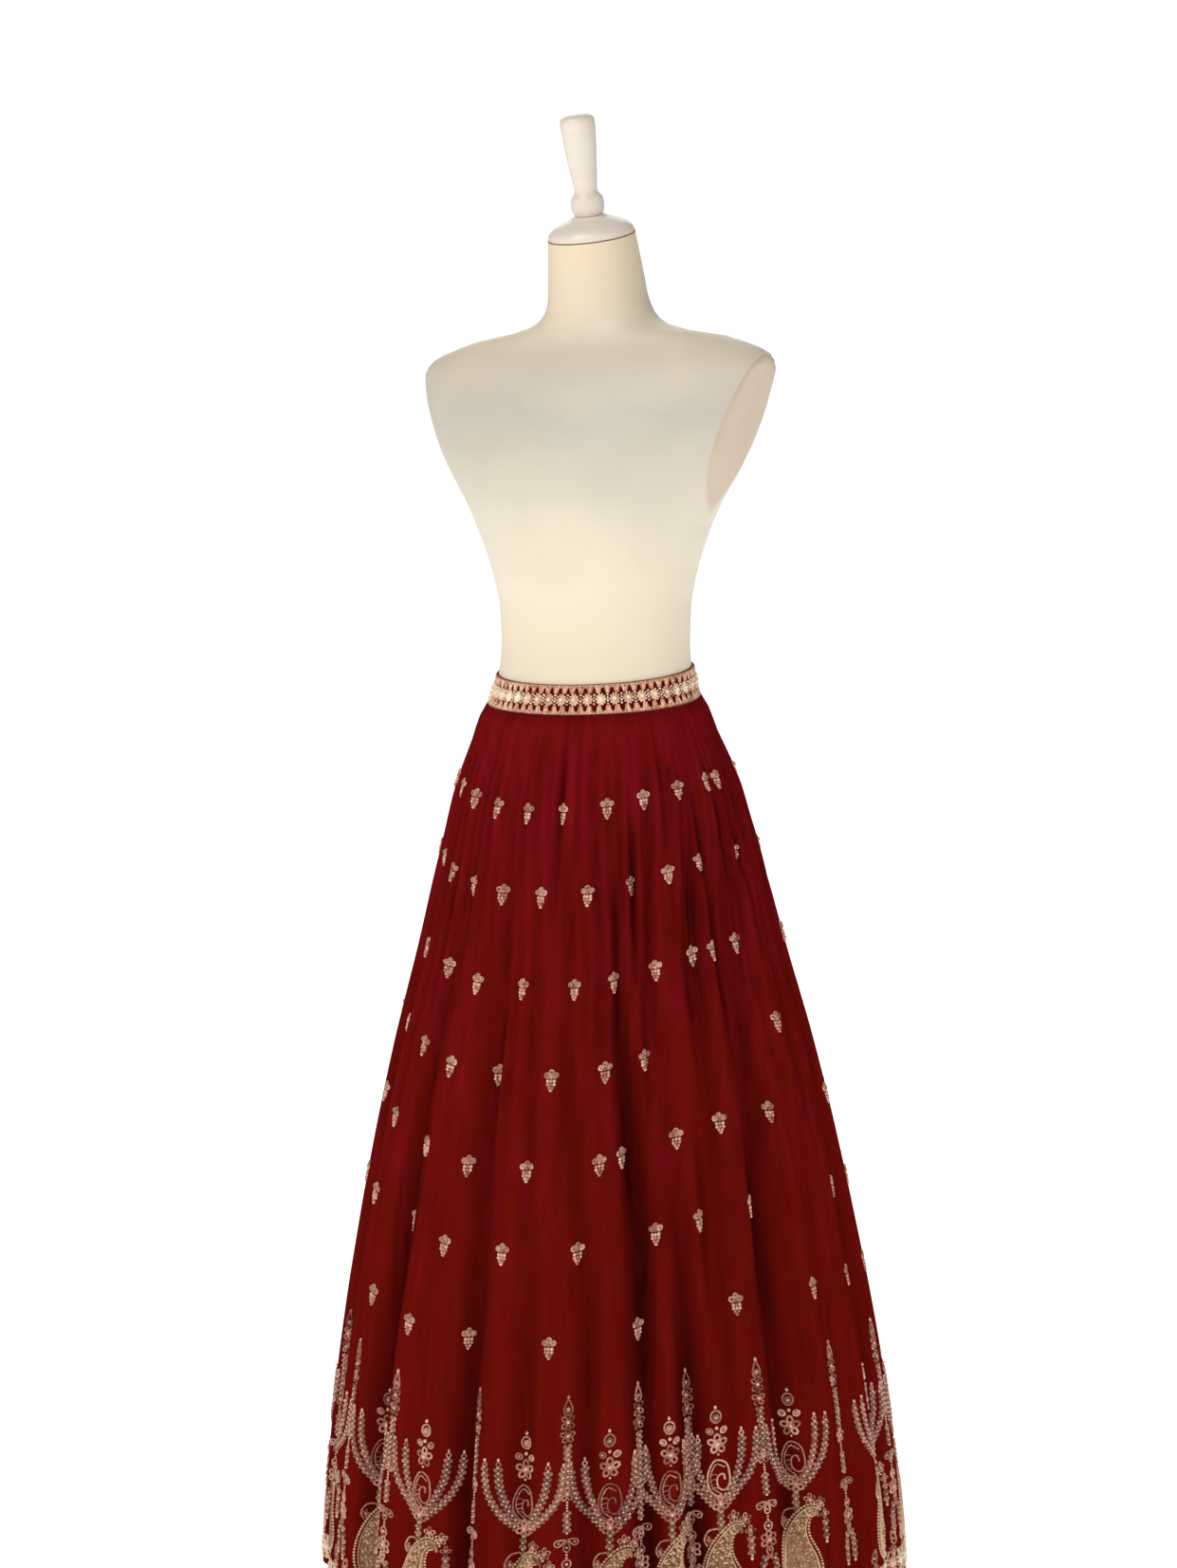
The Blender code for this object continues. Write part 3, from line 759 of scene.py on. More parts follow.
def central_spire(work):
    """The candelabra's middle: a beaded tip, a drop, rosettes and a curled leaf."""
    work.bead(0, 291.5, 3.8, 1.0, tall=5)
    work.stamp(FINE_LOOP, 0, 280.5, 14.2, 16.5, 2, tint=0.6)
    work.stamp(LOOP, 0, 279.5, 8.2, 9, 1.6, tint=0.5)
    work.bead(0, 279.5, 3.6, 1.0)
    for side in (-1, 1):
        work.stamp(LOOP, side * 8.2, 264, 10.4, 8.8, 1.8, side * 25, 0.6)
        work.bead(side * 8.2, 264, 3.2, 0.85, 2.2)
    work.bead(0, 267.5, 4.4, 0.95, 2.6, tall=5)
    rosette(work, 0, 249, 24, 5)
    work.bead(0, 237, 3, 0.95, 2.2)
    leaf = (
        (0.5, 186), (-11.2, 196), (-13, 213), (-4, 230),
        (8.5, 225.5), (12.5, 211), (11.5, 200), (5, 194.5),
        (-2, 200), (-2, 211), (4.5, 214), (6.2, 207),
    )
    work.ridge(smooth_path(leaf, 46), 2.2, 1.9, 0.5)
    inner = ((1, 191), (-8, 199), (-9.8, 212), (-3, 225.5), (6, 221.5))
    beads_along(work, inner, 2.8, 2.1, 0.85)
    for rise in (194.5, 198.5, 204, 210):
        hatch = ((-8.5, rise + 3), (-5, rise + 4.5), (-2.2, rise + 3))
        work.ridge(smooth_path(hatch, 6), 1.1, 1.2, 0.45)
    rosette(work, 0, 179.5, 21, 6)


def arms(work, side):
    """Two curved arms of florets on one side of the candelabra."""
    inner = ((8.5, 187), (20, 204), (28.5, 227), (31, 248))
    outer = ((9, 180), (24, 193), (38.5, 210), (46, 229), (48, 247))
    for path, tip in ((inner, 260), (outer, 258)):
        path = [(side * x, y) for x, y in path]
        floret_chain(work, path)
        x = path[-1][0]
        work.bead(x, tip, 3.4, 1.0, tall=4.6)
        work.stamp(LOOP, x, tip - 5.2, 7, 7, 1.5, tint=0.6)


def candelabra():
    work = Stitches()
    central_spire(work)
    for side in (-1, 1):
        arms(work, side)
    return work


def tall_spire():
    """The spire between two candelabras, with a long chain that hangs from it."""
    work = Stitches()
    work.bead(0, 336, 3.6, 0.7, tall=5.6)
    teardrop(work, 0, 324.5, 19, 11, tint=0.4)
    work.stamp(LOOP, 0, 321, 6.6, 8, 1.8, tint=0.35)
    rosette(work, 0, 307, 19, 4, 45, 0.4)
    rosette(work, 0, 291, 18, 5, 90, 0.4)
    floret_chain(work, ((0, 279), (0.6, 256), (0, 234)))
    rosette(work, 0, 223.5, 18, 5)
    beads_along(work, ((0, 214), (0, 204)), 3.4, 3, 0.9)
    floret_chain(work, ((0, 201), (0, 181)), 7.8, 5.6)
    for way in (205, 270, 335):
        c, s = direction(way)
        teardrop(work, c * 8.2, 170.5 + s * 7.8, 13, 8, way + 180)
    beads_along(work, ((0, 156), (0, 149)), 3.4, 3, 0.9)
    work.stamp(FINE_LOOP, 0, 141.5, 12, 12.5, 1.8)
    work.bead(0, 141.5, 4.4, 0.95)
    rosette(work, 0, 125, 23, 6)
    teardrop(work, 0, 111, 12, 9, 270)
    for side in (-1, 1):
        path = ((side * 5.6, 105), (side * 9.2, 94), (side * 9.6, 76))
        floret_chain(work, path, 8, 5.6)
        work.bead(side * 9.6, 69, 3.4, 1.0, tall=5.6)
    return work


# across, up, half width: the paisley's body, from its round foot to its curled tip.
PAISLEY = np.array([
    (3.5, 52, 1), (3, 56, 13.5), (1.8, 64, 21.5),
    (0, 76, 25.2), (-2.2, 90, 23.8), (-3.6, 104, 19.2),
    (-3, 118, 13.6), (0.4, 131, 9.2), (6.6, 142, 6.4),
    (15, 148, 4.7), (22.5, 145.5, 3.4), (25.2, 138.5, 1.2),
])


def paisley():
    """A large padded paisley under each candelabra, beaded all round, with a crest and a short chain."""
    work = Stitches()
    floret_chain(work, ((0, 173), (-1, 160), (0.0, 150)), 7.4, 5.4)
    body = smooth_path(PAISLEY, 46)
    spine, half = body[:, :2], body[:, 2]
    way = np.gradient(spine, axis=0)
    normal = np.stack([-way[:, 1], way[:, 0]], axis=-1) / np.linalg.norm(way, axis=1, keepdims=True)
    for side in (-1, 1):
        edge = spine + normal * (side * (half + 2.2))[:, None]
        beads_along(work, edge[1:-2], 4, 3.5, 0.95)
        inside = spine[2:-3] + normal[2:-3] * (side * half[2:-3] * 0.84)[:, None]
        work.ridge(inside, 1.7, 3.4, 0.75)
    # Short couched stitches fill the body in rows that follow its outline.
    for share in (-0.66, -0.44, -0.22, 0.0, 0.22, 0.44, 0.66):
        line = spine[3:-6] + normal[3:-6] * (share * half[3:-6])[:, None]
        for k, (x, y, turn) in enumerate(along_path(line, 4.4)):
            rise = 3.4 * math.sqrt(1 - share * share) + 0.8
            shade = 0.42 + 0.58 * ((k * 0.618 + share * 5) % 1)
            x += math.sin(2.4 * k + 17 * share)
            y += math.cos(3.1 * k + 23 * share)
            work.stamp(BEAD, x, y, 4.6, 3.6, rise, turn + 50 * math.sin(5.3 * k + 9 * share), shade)
    return work


def paisley_pad():
    """The padded ground of the paisley, under its stitches."""
    work = Stitches()
    body = smooth_path(PAISLEY, 30)
    work.ridge(body[:, :2], 2 * body[:, 2], 2.2, 0.34)
    return work


def crest():
    """Loops and a short chain beside the paisley's curl, and sprigs beside its foot."""
    work = Stitches()
    rosette(work, 15, 160.5, 15.5, 5)
    rosette(work, 29.5, 154.5, 15, 5)
    rosette(work, 35, 140, 13, 4)
    floret_chain(work, ((35.5, 131), (35.5, 114)), 7.8, 5.4)
    work.bead(35.5, 107, 3.8, 1.0, tall=6)
    stem = ((-4, 151), (-15, 148), (-21.5, 137), (-17.5, 129))
    work.ridge(smooth_path(stem, 14), 2.2, 1.8)
    rosette(work, -15.5, 136.5, 10, 4)
    for side in (-1, 1):
        teardrop(work, side * 42, 64, 18, 11, 90 + side * 18)
        rosette(work, side * 40.5, 48.5, 13, 5)
    return work


def band_unit(width, height):
    """One repeat of the bands: two ringed stones and two bars of beads, with three fans above and below."""
    work = Stitches()
    width, height = width * A_METRE, height * A_METRE
    middle = height / 2
    stone = width * 0.35
    for side in (-1, 1):
        x = side * width / 4
        work.stamp(STONE, x, middle, stone, stone * 1.12, 2.6, tint=0.62)
        for k in range(RING_BEADS):
            way = math.tau * k / RING_BEADS
            at = x + math.cos(way) * stone * 0.50, middle + math.sin(way) * stone * 0.55
            work.bead(*at, 2.1, 0.85, 2.8)
        work.bead(x, middle, stone * 0.5, 0.95, 3.6)
        for k in range(4):
            y = middle + (k - 1.5) * height * 0.10
            tint = 0.9 if k % 2 else 0.6
            work.bead(x + width / 4, y, width * 0.10, tint, 2.7, tall=width * 0.085)
    for side in (-1, 1):
        foot = middle + side * height * 0.20
        tip = middle + side * height * 0.45
        for fan in (-1, 0, 1):
            fan_of_thread(work, fan * width / 3, foot, tip, width / 3)
    return work


def fan_of_thread(work, x, foot, tip, width):
    """Five ridges of thread that spread from foot to tip, with a bead on them and one beside them."""
    side = math.copysign(1, tip - foot)
    for lean in (-0.34, -0.17, 0.0, 0.17, 0.34):
        halfway = (x + lean * width * 0.7, (foot + tip) / 2)
        path = [(x + lean * width * 0.5, foot), halfway, (x + lean * width * 1.1, tip)]
        work.ridge(smooth_path(path, 5), np.linspace(1, 1.7, 5), 1.3, 0.5)
    work.bead(x, (foot + tip) / 2, width * 0.19, 0.9, 2.2, tall=width * 0.22)
    work.bead(x + width / 2, tip - side * 1.7, 2.2, 0.45, 1.6, tall=2)


def lay(name, work, surface, azimuths, material, lowered=0.0, tall=1.0, shares=None):
    """Lays a layout on a surface at each azimuth and share, as one joined mesh; tall scales its height."""
    points, triangles, tints, numbers = work.laid()
    rng = np.random.default_rng(BORDER_SEED)
    laid, faces, shades = [], [], []
    for k, azimuth in enumerate(azimuths):
        copy = points.copy()
        copy[:, 1] = copy[:, 1] * tall - lowered
        share = 1.0 if shares is None else shares[k]
        laid.append(surface.place(np.full(len(copy), float(azimuth)), share, copy))
        faces.append(triangles + k * len(points))
        own = rng.uniform(-STITCH_VARIES, STITCH_VARIES, numbers[-1] + 1)
        whole = rng.uniform(-COPY_VARIES, COPY_VARIES)
        shades.append(np.clip(tints + own[numbers] + whole, 0, 1))
    return mesh_object(name, np.vstack(laid), np.vstack(faces), material, np.concatenate(shades))


# Materials.

def linear(red, green, blue):
    """A linear colour from 0 to 255 values as they look on a screen."""
    parts = []
    for value in (red, green, blue):
        v = value / 255
        parts.append(v / 12.92 if v <= 0.04045 else ((v + 0.055) / 1.055) ** 2.4)
    return (*parts, 1.0)


class Paint:
    """A material while it is made: its nodes and its shader."""

    def __init__(self, name):
        self.material = bpy.data.materials.new(name)
        self.material.use_nodes = True
        self.tree = self.material.node_tree
        self.shader = self.tree.nodes["Principled BSDF"]

    def node(self, kind, **settings):
        made = self.tree.nodes.new("ShaderNode" + kind)
        for key, value in settings.items():
            if key in made.inputs:
                made.inputs[key].default_value = value
            else:
                setattr(made, key, value)
        return made

    def link(self, source, node, *sockets):
        for socket in sockets:
            self.tree.links.new(source, node.inputs[socket])

    def place(self):
        """The place on the object, in its own metres."""
        return self.node("TexCoord").outputs["Object"]

    def tint(self):
        return self.node("Attribute", attribute_name="tint").outputs["Fac"]

    def height_over(self, level):
        split = self.node("SeparateXYZ")
        self.link(self.place(), split, "Vector")
        return self.math("SUBTRACT", split.outputs["Z"], level)

    def math(self, operation, *values):
        node = self.node("Math", operation=operation)
        for socket, value in zip(node.inputs, values):
            if isinstance(value, (int, float)):
                socket.default_value = value
            else:
                self.tree.links.new(value, socket)
        return node.outputs["Value"]

    def plus(self, value, pattern, amount):
        """A value with an amount of a pattern added."""
        return self.math("ADD", value, self.math("MULTIPLY", pattern, amount))

    def varied(self, value, pattern, amount):
        """A value moved up and down by a pattern whose middle is a half."""
        return self.plus(value, self.math("SUBTRACT", pattern, 0.5), amount)

    def noise(self, scale, detail=3.0):
        """Noise in the object's own metres, stretched where the scale is one for each axis."""
        place = self.place()
        if isinstance(scale, tuple):
            mapping = self.node("Mapping", Scale=scale)
            self.link(place, mapping, "Vector")
            place, scale = mapping.outputs["Vector"], 1.0
        node = self.node("TexNoise", Scale=scale, Detail=detail, Roughness=NOISE_ROUGHNESS)
        self.link(place, node, "Vector")
        return node.outputs["Fac"]

    def ramp(self, factor, *stops):
        """Colours between stops of place, red, green and blue, read at a factor."""
        node = self.node("ValToRGB")
        elements = node.color_ramp.elements
        elements[0].position, elements[0].color = stops[0][0], linear(*stops[0][1:])
        elements[1].position, elements[1].color = stops[-1][0], linear(*stops[-1][1:])
        for place, *colour in stops[1:-1]:
            elements.new(place).color = linear(*colour)
        self.link(factor, node, "Fac")
        return node.outputs["Color"]

    def mixed(self, factor, first, second):
        """One colour at 0 and the other at 1."""
        node = self.node("Mix", data_type="RGBA")
        self.link(factor, node, "Factor")
        self.link(first, node, "A")
        self.link(second, node, "B")
        return node.outputs["Result"]

    def bump(self, height, strength, distance):
        node = self.node("Bump", Strength=strength, Distance=distance)
        self.link(height, node, "Height")
        self.link(node.outputs["Normal"], self.shader, "Normal")

    def made(self, colour, roughness, **others):
        """The finished material, from its colour, its roughness and other values of the shader."""
        self.link(colour, self.shader, "Base Color")
        self.shader.inputs["Roughness"].default_value = roughness
        for name, value in others.items():
            self.shader.inputs[name.replace("_", " ")].default_value = value
        return self.material


def georgette():
    """Deep red crinkled cloth with painted shade in its folds and towards its hem, fine upright crinkles
    and a grain.
    """
    paint = Paint("red_georgette")
    shade = paint.varied(paint.tint(), paint.noise((42, 42, 1.3)), 0.55)
    shade = paint.varied(shade, paint.noise((160, 160, 4)), 0.3)
    # The skirt is painted a little darker towards its hem, as painted shade, and a little browner there.
    height = paint.height_over(SHADED_BROWNER_BELOW)
    shade = paint.plus(shade, height, 0.04)
    warm = paint.ramp(shade, (0.0, 40, 5, 4), (0.35, 87, 12, 8), (0.65, 107, 16, 11), (0.9, 116, 18, 13))
    cool = paint.ramp(shade, (0.0, 44, 5, 6), (0.35, 100, 12, 16), (0.65, 119, 16, 23), (0.9, 131, 18, 32))
    hue = paint.math("MULTIPLY", paint.math("SUBTRACT", paint.noise((46, 46, 0.9), 2.0), 0.5), 4.0)
    hue = paint.math("ADD", paint.plus(hue, height, 1.6), 0.45)
    grain = paint.math("MULTIPLY", paint.noise(900.0, 2.0), 0.3)
    paint.bump(paint.plus(grain, paint.noise((260, 260, 26), 5.0), 0.8), 0.35, BUMP)
    sheen = {"Sheen_Weight": 0.02, "Sheen_Roughness": 0.4, "Sheen_Tint": linear(190, 30, 45)}
    return paint.made(paint.mixed(hue, warm, cool), 0.8, Specular_IOR_Level=0.0, **sheen)


def gold_work(name, stops, metallic, roughness, grain_scale):
    """Pink-gold thread and beads: each stitch has its own tint, and noise in the colour varies it and
    paints a fine broken glint.
    """
    paint = Paint(name)
    # Partly painted highlight: light flecks of noise in the colour stand for a broken glint.
    shade = paint.varied(paint.tint(), paint.noise(grain_scale, 2.0), 0.9)
    paint.bump(paint.noise(grain_scale * 1.7), 0.6, BUMP)
    return paint.made(paint.ramp(shade, *stops), roughness, Metallic=metallic)


def form_paint():
    """Cream satin paint on a moulded shell, warmer on the arm plates, with painted shade at the chest:
    cooler and darker there.
    """
    paint = Paint("cream_shell")
    share = paint.math("MULTIPLY", paint.height_over(SHELL_TONES_FROM), SHELL_TONES_RATE)
    # Painted shade: up the shell the colour darkens to a cooler band at the chest, between the waist's and
    # neck's cream.
    colour = paint.ramp(
        paint.varied(share, paint.noise(9.0), 0.22),
        (0.0, 238, 224, 196), (0.25, 236, 223, 198), (0.62, 199, 192, 178),
        (0.80, 223, 208, 184), (1.0, 231, 211, 180),
    )
    tan = paint.ramp(paint.noise(14.0), (0.3, 197, 177, 152), (0.7, 206, 187, 163))
    on_plate = paint.ramp(paint.tint(), (0.4, 0, 0, 0), (0.7, 255, 255, 255))
    paint.bump(paint.noise(140.0, 4.0), 0.12, 0.0005)
    return paint.made(paint.mixed(on_plate, colour, tan), 0.48)


def lacquer(name, darker, colour, roughness):
    """Satin lacquer with faint turning marks and dust."""
    paint = Paint(name)
    paint.bump(paint.noise(120.0, 2.0), 0.05, 0.0003)
    tone = paint.ramp(paint.noise((12, 12, 60)), (0.25, *darker), (0.6, *colour))
    return paint.made(tone, roughness, Coat_Weight=0.15)


def floor_material():
    """A pale floor that glows as painted light, and brightens to the white of the room away from the stand.
    """
    paint = Paint("pale_floor")
    reach = paint.node("VectorMath", operation="LENGTH")
    paint.link(paint.place(), reach, 0)
    far = paint.math("SUBTRACT", reach.outputs["Value"], FLOOR_BRIGHTENS_FROM)
    # Painted light: the floor glows, less near the stand than further away.
    paint.link(paint.ramp(far, (0.0, 214, 214, 213), (0.6, 255, 255, 255)), paint.shader, "Emission Color")
    tone = paint.ramp(paint.noise(1.3, 2.0), (0.3, 246, 246, 245), (0.7, 251, 251, 250))
    return paint.made(tone, 0.8, Emission_Strength=0.98)


def joint_shade():
    """Painted shade: a dark line in the joint between the form and its cap."""
    paint = Paint("joint_shade_line")
    return paint.made(paint.ramp(paint.noise(60.0), (0.3, 96, 66, 44), (0.7, 150, 116, 84)), 0.8)


def make_materials():
    pink = (0.05, 76, 28, 20), (0.5, 180, 116, 94), (0.95, 240, 194, 170)
    golden = (0.05, 88, 50, 32), (0.5, 167, 119, 85), (0.95, 234, 196, 158)
    cream = (0.05, 112, 54, 38), (0.5, 236, 176, 142), (0.95, 255, 246, 218)
    return {
        "cloth": georgette(),
        "zari": gold_work("pink_gold_zari", pink, 0.15, 0.42, 420.0),
        "fill": gold_work("gold_fill", golden, 0.25, 0.36, 620.0),
        "band": gold_work("band_gold", cream, 0.15, 0.36, 420.0),
        "form": form_paint(),
        "turned": lacquer("white_lacquer", (217, 204, 188), (226, 214, 200), 0.36),
        "enamel": lacquer("white_enamel", (220, 214, 204), (232, 228, 220), 0.32),
        "joint": joint_shade(),
    }


# Pieces.

def make_skirt(creases, materials):
    """One fine cloth for the four widths, with its folds and creases, and a thin hem edge."""
    azimuths = np.linspace(0, 360, CLOTH_COLUMNS, endpoint=False)
    drops = 1 - np.linspace(0, 1, CLOTH_ROWS) ** ROWS_CROWD
    rows, shades = [], []
    for drop in drops:
        points, inward = skirt_points(azimuths, float(drop), creases)
        rows.append(points)
        # Painted shade: the deeper a point lies in a fold, the darker its tint.
        shade_depth = SHADE_DEPTH_WAIST + (SHADE_DEPTH_LOW - SHADE_DEPTH_WAIST) * ease(drop / 0.5)
        shades.append(RIDGE_TINT + (FOLD_SHADE_TINT - RIDGE_TINT) * np.clip(inward / shade_depth, 0, 1))
    triangles = grid_triangles(len(rows), CLOTH_COLUMNS, closed_columns=True)
    points, tints = np.vstack(rows), np.concatenate(shades)
    skirt = mesh_object("skirt_cloth", points, triangles, materials["cloth"], tints)
    wall = skirt.modifiers.new("cloth", "SOLIDIFY")
    wall.thickness = CLOTH
    wall.offset = -1
    fit(skirt, "skirt_cloth", "skirt_front", "skirt_left", "skirt_back", "skirt_right")


def closed_strip(name, rows, material, tint):
    """A closed ring from rows of points, each of which runs all the way round."""
    count = len(rows[0])
    triangles = grid_triangles(len(rows), count, closed_columns=True)
    return mesh_object(name, np.vstack(rows), triangles, material, np.full(count * len(rows), tint))


def make_band(materials):
    """The waistband's cloth: down its inner side and up the outer one, closed in a ring."""
    azimuths = np.linspace(0, 360, BAND_COLUMNS, endpoint=False)
    out = GAP + BAND_CLOTH
    outer_side = ((0.0, GAP), (0.0, out), (0.33, out), (0.66, out), (1.0, out))
    outline = outer_side + ((1.0, GAP), (0.5, GAP), (0.0, GAP))
    rows = [band_point(azimuths, share, outward) for share, outward in outline]
    band = closed_strip("waistband_cloth", rows, materials["cloth"], BAND_TINT)
    fit(band, "skirt_cloth", "waistband")


def make_lap(materials):
    """The waistband's end, lapped over its opening at the centre back and hooked there."""
    azimuths = np.linspace(180 - TAB_HALF_ANGLE, 180 + TAB_HALF_ANGLE, LAP_COLUMNS)
    inner, outer = LAP_OUTWARD - TAB_THICKNESS, LAP_OUTWARD
    face = ((0.0, inner), (0.0, outer), (0.5, outer), (1.0, outer))
    corners = face + ((1.0, inner), (0.5, inner), (0.0, inner))
    sections = np.stack([band_point(azimuths, share, outward) for share, outward in corners])
    count = len(corners)
    points = sections.transpose(1, 0, 2).reshape(-1, 3)
    sides = grid_triangles(len(azimuths), count)[:, ::-1]
    ends = [(0, k, k + 1) for k in range(1, count - 2)]
    last = (len(azimuths) - 1) * count
    ends += [(last, last + k + 1, last + k) for k in range(1, count - 2)]
    triangles = np.vstack([sides, ends])
    tints = np.full(len(points), BAND_TINT)
    lap = mesh_object("waistband_lap", points, triangles, materials["cloth"], tints)
    lap.data.set_sharp_from_angle(angle=math.radians(SHARP_ANGLE))
    fit(lap, "skirt_cloth", "waistband_tab")


def make_band_work(materials):
    """Beads and fans round the waistband and on its lap, and thick couched edgings."""
    plain, lapped = band_surface(GAP + BAND_CLOTH), band_surface(LAP_OUTWARD)
    row = plain.along[len(plain.along) // 2]
    ends = (0, BEADS_END, 180 - LAP_BEADS_HALF_ANGLE, 180 + LAP_BEADS_HALF_ANGLE)
    start, end, lap_start, lap_end = np.interp(ends, plain.azimuths, row)
    pitch = 2 * (end - start) / BAND_UNITS
    half = np.interp(start + np.arange(BAND_UNITS // 2 + 1) * pitch, row, plain.azimuths)
    azimuths = np.append(half, 360 - half[1:])
    unit = band_unit(pitch, BAND_HEIGHT)
    lap_unit = band_unit(lap_end - lap_start, BAND_HEIGHT)
    pieces = [
        lay("waistband_beads", unit, plain, azimuths, materials["band"]),
        lay("lap_beads", lap_unit, lapped, [180], materials["band"]),
    ]
    for name, share in EDGING_SHARES:
        pieces.append(edging(name, share, materials["band"]))
    for piece in pieces:
        fit(piece, "waistband_beadwork")


def edging(name, share, material):
    """A raised edge of slanting couched stitches round the waistband."""
    azimuths = np.linspace(0, 360, EDGING_COLUMNS, endpoint=False)
    pulse = 0.75 + 0.25 * np.cos(np.radians(azimuths) * EDGING_STITCHES)
    lapped = ease((TAB_HALF_ANGLE + EDGING_CLIMB - np.abs(azimuths - 180)) / EDGING_CLIMB)
    base = GAP + BAND_CLOTH + lapped * (LAP_OUTWARD - GAP - BAND_CLOTH)
    half = EDGING_WIDTH / 2 / BAND_HEIGHT
    rows = []
    for side, rise in EDGING_PROFILE:
        rows.append(band_point(azimuths, share + side * half, base + rise * pulse))
    return closed_strip(name, rows, material, EDGING_TINT)


def neck_line(material):
    """A dark ring of painted shade in the joint between the neck and its cap."""
    top = FORM_RINGS[-1]
    lean = math.radians(NECK_TILT)
    angles = np.linspace(0, 2 * np.pi, JOINT_COLUMNS, endpoint=False)
    rows = []
    for radius, rise in NECK_JOINT:
        x = radius * np.cos(angles)
        flat_y = radius * np.sin(angles)
        y = top[2] + flat_y * math.cos(lean) - rise * math.sin(lean)
        z = top[0] + flat_y * math.sin(lean) + rise * math.cos(lean)
        rows.append(np.stack([x, y, z], axis=-1))
    fit(closed_strip("neck_joint", rows, material, 0.5), "form_shell")


def make_seams(surface, materials):
    """The four seams between the skirt's widths, each in the bottom of a fold."""
    work = Stitches()
    length = surface.length * A_METRE
    line = ((0, -SEAM_TOP), (0, -length / 2), (0, SEAM_OVER_HEM - length))
    work.ridge(smooth_path(line, SEAM_POINTS), SEAM_WIDTH, SEAM_RISE, SEAM_TINT)
    points, triangles, tints, _ = work.laid()
    drops = np.clip(-points[:, 1] / surface.length, 0, 1)
    lines = np.array([fold_azimuths(drop) for drop in drops])
    laid, faces = [], []
    for k, fold in enumerate(SEAM_FOLDS):
        laid.append(surface.place(lines[:, fold] % 360, 0.0, points))
        faces.append(triangles + k * len(points))
    shades = np.tile(tints, len(SEAM_FOLDS))
    seams = mesh_object("skirt_seams", np.vstack(laid), np.vstack(faces), materials["cloth"], shades)
    fit(seams, "skirt_cloth")
    return seams


def share_at(height):
    """The drop of a height above the floor, as it is at the front."""
    return (SEAM_FRONT_HEIGHT - height) / (SEAM_FRONT_HEIGHT - HEM_FRONT_HEIGHT)


def make_butis(surface, materials):
    """Rows of small sprigs: listed one by one round the front and left, and evenly round the rest."""
    azimuths, shares = [], []
    for height, rise, hidden, shown in BUTI_ROWS:
        rest = np.linspace(shown[-1], shown[0] + 360, hidden + 2)[1:-1]
        row = np.array([*shown, *rest])
        away = np.abs((row + 180) % 360 - 180)
        azimuths += list(row % 360)
        shares += list(share_at(height + rise * ease(away / BUTI_RISE_SPAN)))
    return [lay("skirt_butis", buti(), surface, azimuths, materials["zari"], shares=shares)]


def make_border(surface, materials):
    """The deep border: candelabras, spires with hanging chains, paisleys and crests."""
    centres = np.array(BORDER_CENTRES, float)
    row = surface.along[HEM_ROW]
    places = np.interp(centres, surface.azimuths, row)
    turn = np.interp(360, surface.azimuths, row) - np.interp(0, surface.azimuths, row)
    halfway = (places + np.append(places[1:], places[0] + turn)) / 2
    between = np.interp(halfway, row, surface.azimuths) % 360
    made = []
    for name, work, azimuths, material in (
        ("border_candelabras", candelabra(), centres, "zari"),
        ("border_spires", tall_spire(), between, "zari"),
        ("border_pads", paisley_pad(), centres, "fill"),
        ("border_paisleys", paisley(), centres, "fill"),
        ("border_crests", crest(), centres, "zari"),
    ):
        made.append(lay(name, work, surface, azimuths, materials[material], BORDER_LOWERED, BORDER_TALL))
    return made


def make_hem_band(surface, materials):
    """A band like the waistband's along the hem."""
    row = surface.along[HEM_ROW]
    start, end = np.interp([0, 360], surface.azimuths, row)
    width = (end - start) / HEM_UNITS
    places = start + (np.arange(HEM_UNITS) + 0.5) * width
    azimuths = np.interp(places, row, surface.azimuths)
    work = band_unit(width, HEM_BAND_HEIGHT)
    return [lay("hem_band", work, surface, azimuths, materials["band"], -HEM_BAND_RISE)]


def plate_shares(azimuths, height):
    """Over a half where an arm's plate cuts the form off at a height, and under it elsewhere."""
    if height < ARM_PLATE_BOTTOM:
        return np.zeros(len(azimuths))
    uncut = curve(FORM_RINGS, 1, height) * np.abs(np.sin(np.radians(azimuths)))
    return 0.5 + (uncut - arm_plate(height)) / (2 * ARM_PLATE_ROUNDING)


def make_form(materials):
    angles = np.linspace(0, 360, FORM_COLUMNS, endpoint=False)
    heights = np.linspace(FORM_BOTTOM, FORM_TOP, FORM_ROWS)
    rings = np.vstack([form_point(angles, height) for height in heights])
    triangles = grid_triangles(FORM_ROWS, FORM_COLUMNS, closed_columns=True)
    caps = []
    for row, order in ((0, -1), (FORM_ROWS - 1, 1)):
        centre = len(rings) + len(caps)
        index = np.arange(FORM_COLUMNS) + row * FORM_COLUMNS
        fan = np.stack([index, np.roll(index, -1), np.full(FORM_COLUMNS, centre)], axis=-1)
        caps.append((rings[index].mean(axis=0), fan[:, ::order]))
    points = np.vstack([rings, [centre for centre, _ in caps]])
    triangles = np.vstack([triangles, *[fan for _, fan in caps]])
    shares = [plate_shares(angles, height) for height in heights]
    form = mesh_object("form_shell", points, triangles, materials["form"], np.append(shares, [0, 0]))
    form.data.set_sharp_from_angle(angle=math.radians(SHARP_ANGLE))
    fit(form, "form_shell", "form_torso")


def make_cap_and_finial(materials):
    """The turned block on the neck and the handle above it, square to the neck's top."""
    top = FORM_RINGS[-1]
    lean = math.radians(NECK_TILT)
    axis = np.array([0, -math.sin(lean), math.cos(lean)])
    neck_top = np.array([0, top[2], top[0]])
    cap_rise = CAP_OUTLINE[0][1]
    for name, node, outline, rise in (
        ("cap_block", "neck_cap", CAP_OUTLINE, GAP),
        ("cap_handle", "finial", FINIAL_OUTLINE, cap_rise + 2 * GAP),
    ):
        foot = neck_top + axis * rise
        turned(name, node, "turned_lacquer", rounded(outline), materials["turned"], foot, NECK_TILT)


